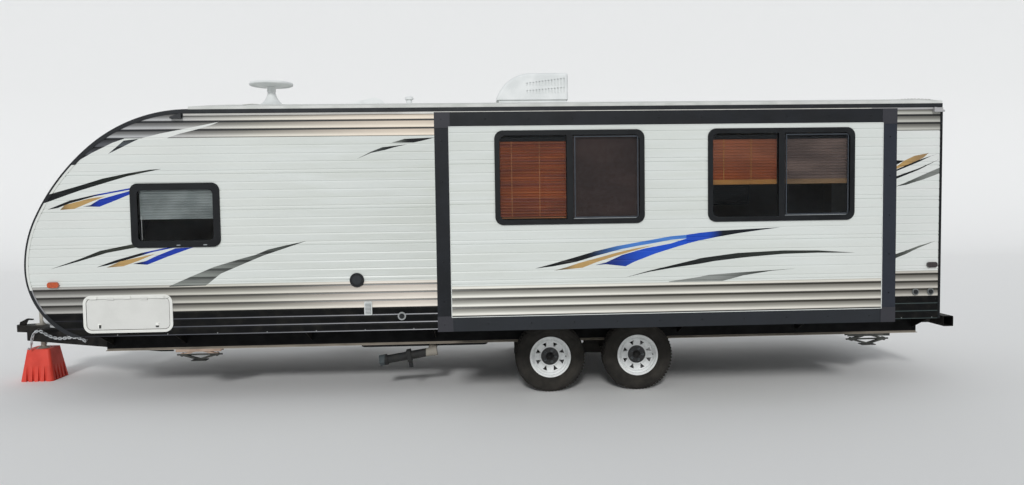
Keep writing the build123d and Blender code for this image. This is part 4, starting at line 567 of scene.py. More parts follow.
silver_rail = worn("silver_rail", "silver_rail", "#c9cac8", "#b6b8b8", 0.35, metal=0.6, dust=0.1)
white_door = worn("white_door", "white_door", "#e8e8e2", "#e0e0da", 0.35, dust=0.15, coat=0.2)
cargo_white = worn("cargo_door_white", "white_door", "#dadad5", "#d4d4cf", 0.4, dust=0.1, coat=0.15,
                   marks=cargo_latches)
step_steel = worn("dark_steel", "step_steel", "#151617", "#202122", 0.55, dust=0.5, chips="#5a4030",
                  gloss=0.35)
white_plastic = worn("white_plastic", "white_plastic", "#e9ebea", "#dcdfde", 0.45, dust=0.05, grain=180.0)
black_plastic = worn("dark_plastic", "black_plastic", "#131416", "#1d1e20", 0.55, dust=0.3, grain=150.0,
                     gloss=0.3)
bottle_paint = worn("bottle_paint", "bottle_paint", "#d3d5d6", "#c2c5c6", 0.4, dust=0.15, chips="#7a5a42",
                    coat=0.2)
nut_steel = worn("nut_steel", "jack_steel", "#6d7173", "#565a5c", 0.4, metal=0.8, dust=0.2)
tank_plastic = worn("tank_plastic", "black_plastic", "#16181a", "#1f2224", 0.55, dust=0.3, gloss=0.3,
                    marks=outlet_marks)
bright_steel = worn("galvanised_steel", "jack_steel", "#d9dbdc", "#b4b8ba", 0.35, metal=0.6, dust=0.05)
bead_white = worn("bead_white", "white_panel", "#dfe2de", "#d6d9d5", 0.4, dust=0.05)
sash_grey = worn("sash_aluminium", "silver_rail", "#3c424a", "#343a41", 0.45, metal=0.3, dust=0.1)
sash_bright = worn("sash_track", "silver_rail", "#a8acae", "#8f9496", 0.35, metal=0.5, dust=0.1)
screw_grey = worn("screw_head", "jack_steel", "#9b9d9c", "#7d8080", 0.4, metal=0.6, dust=0.1)
sealant = worn("roof_sealant", "roof_membrane", "#c6c6be", "#b3b3aa", 0.7, dust=0.0, grain=40.0, depth=0.001)

# Fascia: charcoal moulding, its square corner blocks a tone lighter, its bars a tone apart by side with painted
# light and shade
fascia_bar, corner_block = 0.115, 0.128
fascia_low, fascia_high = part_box("slide_fascia")
fascia_mid, fascia_half = (fascia_low + fascia_high) / 2, (fascia_high - fascia_low) / 2
fascia = Finish("fascia_charcoal", "charcoal", Specular_IOR_Level=0.25)
upright = (fascia.x - fascia_mid.x).abs() > fascia_half.x - corner_block
level = (fascia.z - fascia_mid.z).abs() > fascia_half.z - corner_block
# Painted light and shade: the upper bar darker than the lower one, the left upright darker than the right
level_light_and_shade = (fascia.z > fascia_mid.z).blend("#24272b", "#16181b")
upright_light_and_shade = (fascia.x > fascia_mid.x).blend("#101317", "#272b34")
fascia_tone = (fascia.noise(4.0, 4.0) * 0.2).blend(upright.blend(level_light_and_shade, upright_light_and_shade), "#2c3038")
fascia.surface((upright * level).blend(fascia_tone, "#36363b"), 7.0, (0.4, 0.55), 170.0, 4.0, 0.0003)

# Wheels: white steel with a black centre, the rim behind its disc dark with painted shade
wheel = Finish("wheel_white", "wheel_white", Coat_Weight=0.3, Coat_Roughness=0.15)
rim_boxes = [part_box(side + "_rim") for side in ("road_front", "road_rear")]
rim_low, rim_high = rim_boxes[0]
hub_edge, rim_depth = (0.084, 0.087), (-0.03, 0.0)
front_off, rear_off = [(wheel.x - (low.x + high.x) / 2).abs() for low, high in rim_boxes]
along_x, along_z = front_off.least(rear_off), wheel.z - (rim_low.z + rim_high.z) / 2
hub = (along_x * along_x + along_z * along_z).root().ramp(*hub_edge, 1, 0)
# The rim inboard of its middle painted dark: painted shade in the wheel's recess
inner = (wheel.y.abs() + (rim_low.y + rim_high.y) / 2).ramp(*rim_depth, 1, 0)
wheel_tone = wheel.mottled("#f1f3f2", "#e6e8e7", 14.0, 4.0)
wheel_tone = (wheel.noise(45.0, 4.0, low=0.5, high=0.75) * 0.2).blend(wheel_tone, "#8f8676")
wheel.surface(hub.most(inner).blend(wheel_tone, "#1a1b1c"), 20.0, (0.3, 0.45), 120.0, 3.0, 0.0002)

# Tinted glass, nearly shut on the kerb side so that no light shows through the rooms
glass = Finish("tinted_glass", "glass", Coat_Weight=0.0, Metallic=0.0, Specular_IOR_Level=0.6)
smear = glass.noise(2.5, 4.0, glass.stretched(1, 1, 2.5))
rooms_from_x, rooms_alpha = 4.0, 0.8
kerb_rooms = (glass.y > 0) * (glass.x > rooms_from_x)
glass.set(Base_Color=smear.blend("#050708", "#0d1113"), Roughness=smear.ramp(0, 1, 0.02, 0.06),
          Alpha=smear.ramp(0, 1, 0.16, 0.24).most(kerb_rooms * rooms_alpha))

# Lamp lenses: amber in front, smoked at the sides behind, red at the back, with moulded flutes
lens_front, lens_back = 3.0, 9.28
flute_x, flute_y = 0.008, 0.012
lens = Finish("lamp_lenses", "lamp_lens", Coat_Weight=0.6, Coat_Roughness=0.05)
lens_tone = (lens.x > lens_front).blend(lens.mottled("#c24f16", "#a8431a", 60.0),
                                        lens.mottled("#7d1512", "#5c100f", 60.0))
smoked = (lens.x > lens_front) * (lens.x < lens_back)
flutes = ((lens.x / flute_x).fract() - 0.5).abs().most(((lens.y / flute_y).fract() - 0.5).abs())
lens.set(Base_Color=smoked.blend(lens_tone, lens.mottled("#1b1618", "#2a1c1d", 60.0)),
         Roughness=lens.noise(40.0).ramp(0, 1, 0.12, 0.25), Normal=lens.bump(flutes, 0.0006))

# Blinds: grey-green at the front, dark on the kerb side with painted shade of the unlit rooms, brown on the
# slide-out with a tone for each pane
between_windows, second_middle = 6.5, 7.408
pleat_pitch, pleat_share = 0.041, 0.13
blind_front = worn("blind_grey", "blind", "#a9b3b1", "#98a3a2", 0.55, dust=0.0)
blind_brown = Finish("blind_brown", "blind")
fold = blind_brown.noise(7.0, 4.0, blind_brown.stretched(0.2, 0.2, 3.0), low=0.35, high=0.65)
# Pale lines along the pleats: painted highlights on their edges
pleat = ((blind_brown.z / pleat_pitch).fract() < pleat_share) * 0.5
first_pane = pleat.blend(fold.blend("#833616", "#a04e22"), "#c07a40")
# The second window's left pane lighter at the top: a painted reflection on the glass over it
second_left_and_reflection = blind_brown.z.ramp(1.50, 1.66).blend("#9c4a1a", "#a8603f")
second_pane = (blind_brown.x > second_middle).blend(second_left_and_reflection, fold.blend("#6a5852", "#7d6a62"))
brown = (blind_brown.x > between_windows).blend(first_pane, second_pane)
# Kerb side dark: painted shade of the rooms behind
brown = (blind_brown.y > 0).blend(brown, "#2a1e18")
blind_brown.set(Base_Color=brown, Roughness=fold.ramp(0, 1, 0.5, 0.7),
                Normal=blind_brown.bump(blind_brown.noise(300.0, 3.0), 0.0003))

screen = Finish("insect_screen", "blind")
weave_pitch = 0.004
weave = ((screen.x / weave_pitch).fract() - 0.5).abs().most(((screen.z / weave_pitch).fract() - 0.5).abs())
screen.set(Base_Color=weave.ramp(0.3, 0.5).blend("#3a2a27", "#4b3934"),
           Roughness=screen.noise(30.0).ramp(0, 1, 0.6, 0.8), Normal=screen.bump(weave, 0.0004))

tan_rail = Finish("blind_rail", "blind")
tan_grain = tan_rail.noise(30.0, 4.0, tan_rail.stretched(0.1, 1, 1))
tan_tone = (tan_rail.x > between_windows).blend("#c27c4a", "#c48a42")
tan_tone = (tan_rail.x > second_middle).blend(tan_tone, "#8f7453")
tan_rail.set(Base_Color=(tan_grain * 0.4).blend(tan_tone, "#7d5c3a"),
             Roughness=tan_grain.ramp(0, 1, 0.4, 0.6), Normal=tan_rail.bump(tan_grain, 0.0002))

# Fittings on the side: dark round inlets, a grey louvred vent whose dark stripes are painted shade between its
# louvres, white ones on the kerb side
fitting = Finish("side_fitting_plastic", "white_plastic", Specular_IOR_Level=0.3)
fitting_columns = ("x", "z", "radius", "ring", "middle")
fitting_rows = [dict(zip(fitting_columns, row)) for row in [
    (3.735, 0.579, 0.066, "#15171a", "#2b2e31"), (4.142, 0.235, 0.038, "#9a9c9c", "#1a1c1e"),
    (9.052, 0.363, 0.033, "#6b6e6d", "#1f2123"), (9.200, 0.363, 0.033, "#6b6e6d", "#1f2123")]]
louvre_x, louvre_z, louvre_pitch, louvre_share = 3.833, 0.314, 0.0125, 0.42
louvre_half_wide, louvre_half_tall = 0.026, 0.05
on_road = fitting.y < 0
fitting_tone = fitting.mottled("#d6d9d8", "#c6cac8", 6.0, 4.0)
for row in fitting_rows:
    off_x, off_z = fitting.x - row["x"], fitting.z - row["z"]
    from_middle = (off_x * off_x + off_z * off_z).root() / row["radius"]
    face = (from_middle < 0.66).blend(row["ring"], row["middle"])
    fitting_tone = ((from_middle < 1.1) * on_road).blend(fitting_tone, face)
# The vent's dark stripes: painted shade in the gaps between its louvres
louvre = ((fitting.z / louvre_pitch).fract() < louvre_share) * on_road
louvre = louvre * ((fitting.x - louvre_x).abs() < louvre_half_wide)
louvre = louvre * ((fitting.z - louvre_z).abs() < louvre_half_tall)
fitting.surface(louvre.blend(fitting_tone, "#5b5f60"), 20.0, (0.45, 0.6), 180.0, 4.0, 0.0003)

# Stabilisers: dark arms with painted shade of the shadow under the trailer, the front pair under a tan
# galvanised channel
stabiliser = Finish("stabiliser_steel", "step_steel", Specular_IOR_Level=0.3)
channel_deep, rear_pair_x = 0.045, 5.0
channel_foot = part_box("stabilisers")[1].z - channel_deep
channel = (stabiliser.z > channel_foot) * (stabiliser.x < rear_pair_x)
# Everything below the front pair's channel, and the whole rear pair, dark: painted shade of the shadow under
# the trailer
stabiliser_tone = channel.blend(stabiliser.mottled("#2a2b29", "#4b4c48", 12.0),
                                stabiliser.mottled("#bca594", "#a08a7a", 9.0, 4.0))
stabiliser.surface(stabiliser_tone, 14.0, (0.45, 0.65), 90.0, 4.0, 0.0004)

finished = (
    (chassis, "axles bumper coupler cross_members drawbar hangers springs"), (rail_paint, "chassis_rails"),
    (stabiliser, "stabilisers"), (jack_steel, "tongue_jack"), (red_plastic, "jack_block"),
    (bright_steel, "safety_chains"), (bottle_paint, "propane_bottles"), (step_steel, "entry_step"),
    (black_plastic, "battery_box road_wheel_housing kerb_wheel_housing"), (tank_plastic, "waste_tank"),
    (body_siding, "body_siding"), (slide_siding, "slide_siding"), (nose, "nose_wall"), (trim, "edge_trim"),
    (drip, "drip_rails"), (fascia, "slide_fascia"), (membrane, "roof"), (underbelly, "floor"),
    (lining, "kerb_wall road_wall rear_wall"), (white_panel, "slide_face slide_room"),
    (white_door, "door_frames entry_door"), (cargo_white, "kerb_cargo_door road_cargo_door"),
    (white_plastic, "air_conditioner antenna grab_handle roof_vents"), (silver_rail, "awning"),
    (fitting, "side_fittings"), (lens, "lamps"), (black_trim, "slide_window_frames window_frames"),
    (glass, "entry_door_glass slide_window_glass window_glass"), (blind_front, "window_blinds"),
    (blind_brown, "slide_blinds"))
finish_of = {name: finish for finish, names in finished for name in names.split()}
for name, node in nodes.items():
    finish = rubber if name.endswith("tyre") else wheel if name.endswith("_rim") else finish_of[name]
    node.data.materials.clear()
    node.data.materials.append(finish.material)


# An object from what a function builds in a mesh, normals outwards
def mesh_object(name, build):
    mesh = bpy.data.meshes.new(name)
    bm = bmesh.new()
    build(bm)
    bmesh.ops.recalc_face_normals(bm, faces=bm.faces)
    bm.to_mesh(mesh)
    bm.free()
    made = bpy.data.objects.new(name, mesh)
    scene.collection.objects.link(made)
    return made


# A closed outline of (radius, height) turned round Z
def turned(bm, outline, steps, closed=True):
    rings = []
    for i in range(steps):
        angle = 2 * pi * i / steps
        rings.append([bm.verts.new((r * cos(angle), r * sin(angle), h)) for r, h in outline])
    count = len(outline) if closed else len(outline) - 1
    for i in range(steps):
        here, there = rings[i], rings[(i + 1) % steps]
        for j in range(count):
            k = (j + 1) % len(outline)
            bm.faces.new((here[j], there[j], there[k], here[k]))


# A closed outline of points extruded by a vector
def prism(bm, points, along):
    near = [bm.verts.new(p) for p in points]
    far = [bm.verts.new(Vector(p) + Vector(along)) for p in points]
    bm.faces.new(near)
    bm.faces.new(list(reversed(far)))
    for i in range(len(points)):
        j = (i + 1) % len(points)
        bm.faces.new((near[i], far[i], far[j], near[j]))


# A box with its edges eased
def eased_box(bm, size, ease, centre=(0, 0, 0)):
    x, y, z = size[0] / 2, size[1] / 2, size[2] / 2
    outline = [(-x + ease, -y), (x - ease, -y), (x, -y + ease), (x, y - ease), (x - ease, y), (-x + ease, y),
               (-x, y - ease), (-x, -y + ease)]
    cx, cy, cz = centre
    shrink = 1 - 1.2 * ease / max(x, y)
    levels = [(-z, shrink), (-z + ease, 1), (z - ease, 1), (z, shrink)]
    rings = [[bm.verts.new((cx + px * s, cy + py * s, cz + h)) for px, py in outline] for h, s in levels]
    bm.faces.new(list(reversed(rings[0])))
    bm.faces.new(rings[-1])
    for low, high in zip(rings, rings[1:]):
        for i in range(8):
            j = (i + 1) % 8
            bm.faces.new((low[i], low[j], high[j], high[i]))


# Geometry Nodes that repeat the incoming piece, on a ring round Z or in a row, each tipped at random about X
jitter_seed = 7


def repeat_tree(name, ring):
    tree = bpy.data.node_groups.new(name, "GeometryNodeTree")
    spacing_entry = ("Radius", "Float") if ring else ("Offset", "Vector")
    entries = (("Geometry", "Geometry"), ("Count", "Int"), spacing_entry, ("Jitter", "Float"),
               ("Material", "Material"))
    for label, kind in entries:
        tree.interface.new_socket(label, in_out="INPUT", socket_type="NodeSocket" + kind)
    tree.interface.new_socket("Geometry", in_out="OUTPUT", socket_type="NodeSocketGeometry")
    entry, leave = tree.nodes.new("NodeGroupInput"), tree.nodes.new("NodeGroupOutput")
    piece, count, spacing, jitter, material = (Term(tree, entry.outputs[i]) for i in range(len(entries)))
    turn = {0: jitter.node("FunctionNodeRandomValue", {"data_type": "FLOAT"},
                           {2: jitter * -1, 3: jitter, "Seed": jitter_seed}, out=1)}
    if ring:
        points = count.node("GeometryNodeMeshCircle", {}, {"Vertices": count, "Radius": spacing})
        turn[2] = count.node("GeometryNodeInputIndex", {}, {}) / count * (2 * pi)
    else:
        points = count.node("GeometryNodeMeshLine", {}, {"Count": count, "Offset": spacing})
    angles = count.node("ShaderNodeCombineXYZ", {}, turn)
    rotation = angles.node("FunctionNodeEulerToRotation", {}, {0: angles})
    spread = piece.node("GeometryNodeInstanceOnPoints", {},
                        {"Points": points, "Instance": piece, "Rotation": rotation})
    real = spread.node("GeometryNodeRealizeInstances", {}, {0: spread})
    covered = real.node("GeometryNodeSetMaterial", {}, {"Geometry": real, "Material": material})
    tree.links.new(covered.socket, leave.inputs[0])
    return tree


ring_tree = repeat_tree("ring_of_pieces", True)
row_tree = repeat_tree("row_of_pieces", False)


# The repeated piece as one mesh, moved into place
def repeated(piece, tree, finish, place, jitter=0.0, **inputs):
    modifier = piece.modifiers.new("repeat", "NODES")
    modifier.node_group = tree
    ids = {item.name: item.identifier for item in tree.interface.items_tree if item.in_out == "INPUT"}
    for key, value in inputs.items():
        modifier[ids[key]] = value
    modifier[ids["Jitter"]] = jitter
    modifier[ids["Material"]] = finish.material
    bpy.context.view_layer.update()
    graph = bpy.context.evaluated_depsgraph_get()
    mesh = bpy.data.meshes.new_from_object(piece.evaluated_get(graph))
    bpy.data.objects.remove(piece)
    mesh.transform(place)
    return mesh


# One object out of several meshes, each with its own material
def joined(name, body, parts, smooth=30):
    bm = bmesh.new()
    materials = []
    for mesh, finish in parts:
        if finish.material not in materials:
            materials.append(finish.material)
        start = len(bm.faces)
        bm.from_mesh(mesh)
        bm.faces.ensure_lookup_table()
        for face in bm.faces[start:]:
            face.material_index = materials.index(finish.material)
            face.smooth = smooth > 0
        bpy.data.meshes.remove(mesh)
    mesh = bpy.data.meshes.new(name)
    bm.to_mesh(mesh)
    bm.free()
    for item in materials:
        mesh.materials.append(item)
    if smooth:
        mesh.set_sharp_from_angle(angle=radians(smooth))
    made = bpy.data.objects.new(name, mesh)
    scene.collection.objects.link(made)
    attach(made, body)
    return made


# A mesh from what a function builds, moved into place
def shaped(name, build, place=Matrix.Identity(4)):
    made = mesh_object(name, build)
    mesh = made.data.copy()
    bpy.data.objects.remove(made)
    mesh.transform(place)
    return mesh


# Boxes of the separate solids of a CAD node
def islands(name):
    mesh = nodes[name].data
    parent = list(range(len(mesh.vertices)))

    def root(i):
        while parent[i] != i:
            parent[i] = parent[parent[i]]
            i = parent[i]
        return i

    keys = {}
    for i, v in enumerate(mesh.vertices):
        key = tuple(round(c, 5) for c in v.co)
        if key in keys:
            parent[root(i)] = root(keys[key])
        keys.setdefault(key, i)
    for a, b in (e.vertices for e in mesh.edges):
        parent[root(a)] = root(b)
    found = {}
    for i, v in enumerate(mesh.vertices):
        low, high = found.setdefault(root(i), (Vector(v.co), Vector(v.co)))
        for k in range(3):
            low[k], high[k] = min(low[k], v.co[k]), max(high[k], v.co[k])
    return sorted(found.values(), key=lambda b: (b[0].y, b[0].x))


# Tyres: a ribbed carcass inside the CAD tyre's size, with tread blocks
tyre_radius, tread_base = 0.3315, 0.3235
wheel_names = ("road_front", "road_rear", "kerb_front", "kerb_rear")

# Half of the carcass's section as (radius, distance from the middle), from the bead out and in to the middle
tyre_side = [
    (0.1815, 0.0665), (0.1955, 0.0665), (0.2085, 0.078), (0.2125, 0.0845), (0.219, 0.086), (0.224, 0.091),
    (0.236, 0.0975), (0.250, 0.1015), (0.262, 0.102), (0.264, 0.100), (0.268, 0.100), (0.270, 0.1015),
    (0.284, 0.099), (0.298, 0.094), (0.3005, 0.0915), (0.305, 0.0895), (0.314, 0.083), (0.3205, 0.0755),
    (0.3235, 0.066), (0.3235, 0.056), (0.3175, 0.055), (0.3175, 0.050), (0.3235, 0.049), (0.3235, 0.024),
    (0.3175, 0.023), (0.3175, 0.018), (0.3235, 0.017)]

# Rows of tread blocks: middle, width, length round the tyre, slant, count
tread_columns = ("middle", "width", "length", "slant", "count")
tread_rows = [dict(zip(tread_columns, row)) for row in [
    (0.068, 0.022, 0.019, 0.003, 66), (0.0365, 0.023, 0.024, 0.005, 60), (0.0, 0.030, 0.026, 0.004, 60),
    (-0.0365, 0.023, 0.024, -0.005, 60), (-0.068, 0.022, 0.019, -0.003, 66)]]


def carcass(bm):
    turned(bm, tyre_side + [(r, -h) for r, h in reversed(tyre_side)], 128)


# One tread block: slanted, and a little narrower at its top
def tread_block(width, length, slant):
    def build(bm):
        low, high = tread_base - 0.0015, tyre_radius - 0.0004
        corners = [(-width / 2, -length / 2 - slant), (width / 2, -length / 2 + slant),
                   (width / 2, length / 2 + slant), (-width / 2, length / 2 - slant)]
        levels = ((low, 1, 1), (high - 0.001, 0.94, 0.96), (high, 0.86, 0.90))
        rings = [[bm.verts.new((height - tyre_radius, b * long, a * wide)) for a, b in corners]
                 for height, long, wide in levels]
        for ring_low, ring_high in zip(rings, rings[1:]):
            for i in range(4):
                j = (i + 1) % 4
                bm.faces.new((ring_low[i], ring_low[j], ring_high[j], ring_high[i]))
        bm.faces.new(rings[-1])
        bm.faces.new(list(reversed(rings[0])))
    return build


# A lug nut on its stud, the cap over the hub, and the valve
def lug_nut(bm):
    across = 0.0105
    hexagon = [(across * cos(pi * i / 3), across * sin(pi * i / 3), 0.0) for i in range(6)]
    prism(bm, hexagon, (0, 0, 0.014))
    turned(bm, [(0.0, 0.014), (0.0085, 0.014), (0.006, 0.018), (0.0, 0.0185)], 12, closed=False)
    turned(bm, [(0.0, 0.0015), (0.014, 0.0015), (0.0145, 0.0), (0.0145, -0.002)], 16, closed=False)


def hub_cap(bm):
    turned(bm, [(0.0, 0.030), (0.014, 0.029), (0.024, 0.025), (0.0275, 0.020), (0.029, 0.012), (0.031, 0.010),
                (0.031, 0.004), (0.037, 0.002), (0.038, -0.002)], 36, closed=False)


def valve_stem(bm):
    turned(bm, [(0.0, 0.034), (0.0032, 0.034), (0.004, 0.030), (0.004, 0.022), (0.0055, 0.020), (0.006, 0.0),
                (0.0, 0.0)], 12, closed=False)


lug_circle, lug_count, valve_circle = 0.057, 5, 0.150
disc_set = 0.024                              # wheel disc out from the rim's middle


def dress_wheel(name):
    out = -1 if name.startswith("road") else 1
    facing = Matrix.Rotation(-out * pi / 2, 4, "X")
    low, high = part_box(name + "_tyre")
    at = Matrix.Translation((low + high) / 2) @ facing
    parts = [(shaped("carcass", carcass, at), rubber)]
    for row in tread_rows:
        block = mesh_object("block", tread_block(row["width"], row["length"], row["slant"]))
        place = at @ Matrix.Translation((0, 0, row["middle"]))
        blocks = repeated(block, ring_tree, rubber, place, Count=row["count"], Radius=tyre_radius)
        parts.append((blocks, rubber))
    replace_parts(joined(name + "_tyre_treaded", name + "_wheel", parts, 35), name + "_tyre")
    low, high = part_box(name + "_rim")
    at = Matrix.Translation((low + high) / 2) @ facing @ Matrix.Translation((0, 0, disc_set))
    nuts = repeated(mesh_object("nut", lug_nut), ring_tree, nut_steel, at, Count=lug_count, Radius=lug_circle)
    stem = at @ Matrix.Translation((valve_circle, 0, 0.004))
    parts = [(nuts, nut_steel), (shaped("cap", hub_cap, at), black_plastic),
             (shaped("stem", valve_stem, stem), black_plastic)]
    joined(name + "_nuts_and_cap", name + "_wheel", parts, 35)


for wheel_name in wheel_names:
    dress_wheel(wheel_name)

# Slatted blinds behind the panes
slat_pitch, slat_deep, slat_camber, slat_half = 0.024, 0.0225, 0.0022, 0.0005
blind_edge, header_drop, header_tall = 0.012, 0.042, 0.034
front_window_ends = 3.0


def slat(width):
    def build(bm):
        steps = 4
        points = []
        for i in range(steps + 1):
            t = i / steps - 0.5
            points.append((t * slat_deep, slat_camber * (1 - 4 * t * t)))
        ring = [(u, v + slat_half) for u, v in points] + [(u, v - slat_half) for u, v in reversed(points)]
        prism(bm, [(-width / 2, v, u) for u, v in ring], (width, 0, 0))
    return build


# One blind between two places along X: slats, a rail at its foot, a header that it drops from, flat cords
def hung_blind(box, low_x, high_x, drop, finish, rail_finish, foot_tall=0.018, cords=(), header=black_trim):
    low, high = box
    middle_x, middle_y, width = (low_x + high_x) / 2, (low.y + high.y) / 2, high_x - low_x
    top = high.z - header_drop
    foot = top - drop
    count = max(2, int((top - foot) / slat_pitch))
    place = Matrix.Translation((middle_x, middle_y, foot + slat_pitch * 0.9))
    slats = repeated(mesh_object("slat", slat(width)), row_tree, finish, place, jitter=0.05, Count=count,
                     Offset=(0, 0, slat_pitch))
    parts = [(slats, finish)]
    for height, tall, paint in ((foot, foot_tall, rail_finish), (top, header_tall, header)):
        rail = lambda bm: eased_box(bm, (width, 0.011, tall), 0.002)
        parts.append((shaped("rail", rail, Matrix.Translation((middle_x, middle_y, height))), paint))
    for share in cords:
        cord = lambda bm: eased_box(bm, (0.007, 0.0012, top - foot), 0.0003)
        at = Matrix.Translation((low_x + share * width, middle_y - 0.0048, (top + foot) / 2))
        parts.append((shaped("cord", cord, at), rail_finish))
    return parts


def wand(bm):
    turned(bm, [(0, -0.11), (0.0028, -0.11), (0.0028, 0.11), (0, 0.11)], 10, closed=False)


# The front pair hangs half way, the road-side one with its wand; the ones behind hang nearly to the foot
def body_blinds():
    parts = []
    front_drop, rear_drop, wand_room = 0.47, 0.9, 0.03
    wand_from_corner = Vector((0.055, 0.002, 0.15))
    for box in islands("window_blinds"):
        low, high = box
        in_front = low.x < front_window_ends
        drop = (high.z - low.z) * (front_drop if in_front else rear_drop)
        paint = blind_front if in_front else blind_brown
        start = low.x + blind_edge + (wand_room if in_front else 0)
        parts += hung_blind(box, start, high.x - blind_edge, drop, paint, paint, header=paint)
        if in_front and low.y < 0:
            place = Matrix.Translation(low + wand_from_corner)
            parts.append((shaped("wand", wand, place), white_plastic))
    return parts


# The first window's blind fills its left pane, an insect screen the right; the second's two hang half way
def slide_out_blinds():
    first, second = islands("slide_blinds")
    pane_split, cord_shares = 0.03, (0.18, 0.6)
    first_gap, first_rail, second_drop, second_rail = 0.068, 0.010, 0.523, 0.040
    low, high = first
    middle, tall = (low.x + high.x) / 2, high.z - low.z
    parts = hung_blind(first, low.x + blind_edge, middle - pane_split, tall - first_gap, blind_brown,
                       tan_rail, first_rail, cord_shares)
    panel = lambda bm: eased_box(bm, (high.x - middle - 0.04, 0.003, tall - 0.03), 0.001)
    place = Matrix.Translation(((middle + high.x) / 2 + 0.01, (low.y + high.y) / 2, (low.z + high.z) / 2))
    parts.append((shaped("screen", panel, place), screen))
    low, high = second
    middle, drop = (low.x + high.x) / 2, (high.z - low.z) * second_drop
    parts += hung_blind(second, low.x + blind_edge, middle - pane_split, drop, blind_brown, tan_rail,
                        second_rail, cord_shares)
    parts += hung_blind(second, middle + pane_split, high.x - blind_edge, drop, blind_brown, tan_rail,
                        second_rail)
    return parts


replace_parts(joined("window_blind_slats", "trailer", body_blinds(), 30), "window_blinds")
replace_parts(joined("slide_blind_slats", "slide_out", slide_out_blinds(), 30), "slide_blinds")


# A frame of four mitred bars round a clear opening in X and Z, from one Y to another
def ring_bars(bm, low_x, high_x, low_z, high_z, bar, near_y, far_y):
    inner = [(low_x, low_z), (high_x, low_z), (high_x, high_z), (low_x, high_z)]
    outer = [(low_x - bar, low_z - bar), (high_x + bar, low_z - bar), (high_x + bar, high_z + bar),
             (low_x - bar, high_z + bar)]
    for i in range(4):
        j = (i + 1) % 4
        bar_face = [(x, near_y, z) for x, z in (inner[i], inner[j], outer[j], outer[i])]
        prism(bm, bar_face, (0, far_y - near_y, 0))


# Corner trims at the back, each an angle with two rounded beads
def corner_trim(side):
    def build(bm):
        foot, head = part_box("edge_trim")[0].z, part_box("drip_rails")[0].z
        back, face = 9.296, half_body
        section = [
            (back - 0.020, face - 0.004), (back - 0.020, face + 0.003), (back - 0.004, face + 0.0045),
            (back + 0.002, face + 0.0045), (back + 0.0045, face + 0.002), (back + 0.0045, face - 0.004),
            (back + 0.003, face - 0.028), (back - 0.004, face - 0.028), (back - 0.004, face - 0.004)]
        prism(bm, [(x, side * y, foot) for x, y in section], (0, 0, head - foot))
        bead, bead_out = 0.0022, 0.0035
        for shift in (-0.011, 0.0):
            ring = [(back + shift + bead * cos(a * pi / 6), side * (face + bead_out + bead * sin(a * pi / 6)))
                    for a in range(12)]
            prism(bm, [(x, y, foot + 0.01) for x, y in ring], (0, 0, head - foot - 0.02))
    return build


parts = [(shaped("corner", corner_trim(side)), black_trim) for side in (-1, 1)]
joined("rear_corner_trims", "trailer", parts, 30)


# Pale bead inside the fascia, and the sliding sashes' frames over their bright tracks
sliding_width = 0.8


def slide_bead(bm):
    bead = 0.006
    inset, face = fascia_bar + bead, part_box("slide_siding")[0].y
    ring_bars(bm, fascia_low.x + inset, fascia_high.x - inset, fascia_low.z + inset, fascia_high.z - inset,
              bead, face - 0.003, face + 0.004)


def sashes():
    parts = []
    sash_inset, sash_bar, sash_past_middle = 0.030, 0.009, 0.046
    for low, high in islands("slide_window_glass"):
        if high.x - low.x < sliding_width:
            continue
        middle, front = (low.x + high.x) / 2, low.y - 0.003
        track_foot, track_head = low.z + 0.014, low.z + 0.019
        sash = lambda bm: ring_bars(bm, middle + sash_past_middle, high.x - sash_inset, low.z + sash_inset,
                                    high.z - sash_inset, sash_bar, front, low.y + 0.001)
        corners = [(middle + 0.03, track_foot), (high.x - 0.02, track_foot), (high.x - 0.02, track_head),
                   (middle + 0.03, track_head)]
        track = lambda bm: prism(bm, [(x, front - 0.001, z) for x, z in corners], (0, 0.004, 0))
        parts += [(shaped("sash", sash), sash_grey), (shaped("track", track), sash_bright)]
    return parts


parts = [(shaped("bead", slide_bead), bead_white)] + sashes()
joined("slide_bead_and_sashes", "slide_out", parts, 30)


# Screws and drain covers, repeated in rows
def pan_screw(bm):
    turned(bm, [(0.0, 0.0012), (0.0012, 0.0014), (0.0018, 0.0028), (0.0042, 0.0022), (0.0052, 0.0008),
                (0.0055, -0.003)], 14, closed=False)


def drain_cover(bm):
    eased_box(bm, (0.034, 0.009, 0.005), 0.0015)


def side_row(piece, finish, side, start, step, count):
    place = Matrix.Translation(start) @ Matrix.Rotation(-side * pi / 2, 4, "X")
    return repeated(mesh_object("piece", piece), row_tree, finish, place, Count=count, Offset=step), finish


# Start along X, pitch and count of the rows along the siding's foot
siding_screw_rows = ((1.10, 0.45, 8), (8.62, 0.3, 3))


# Screws in front of the slide-out and behind it, and two drain covers at the foot of each window's frame
def side_rows():
    parts = []
    screw_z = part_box("body_siding")[0].z + 0.012
    for side in (-1, 1):
        for x, pitch, count in siding_screw_rows:
            start = (x, side * (half_body + 0.0005), screw_z)
            parts.append(side_row(pan_screw, screw_grey, side, start, (pitch, 0, 0), count))
    for low, high in islands("window_frames"):
        side, face = (-1, low.y) if low.y < 0 else (1, high.y)
        start = ((low.x + high.x) / 2 + 0.02, face, low.z + 0.020)
        parts.append(side_row(drain_cover, sash_bright, side, start, ((high.x - low.x) * 0.3, 0, 0), 2))
    return parts


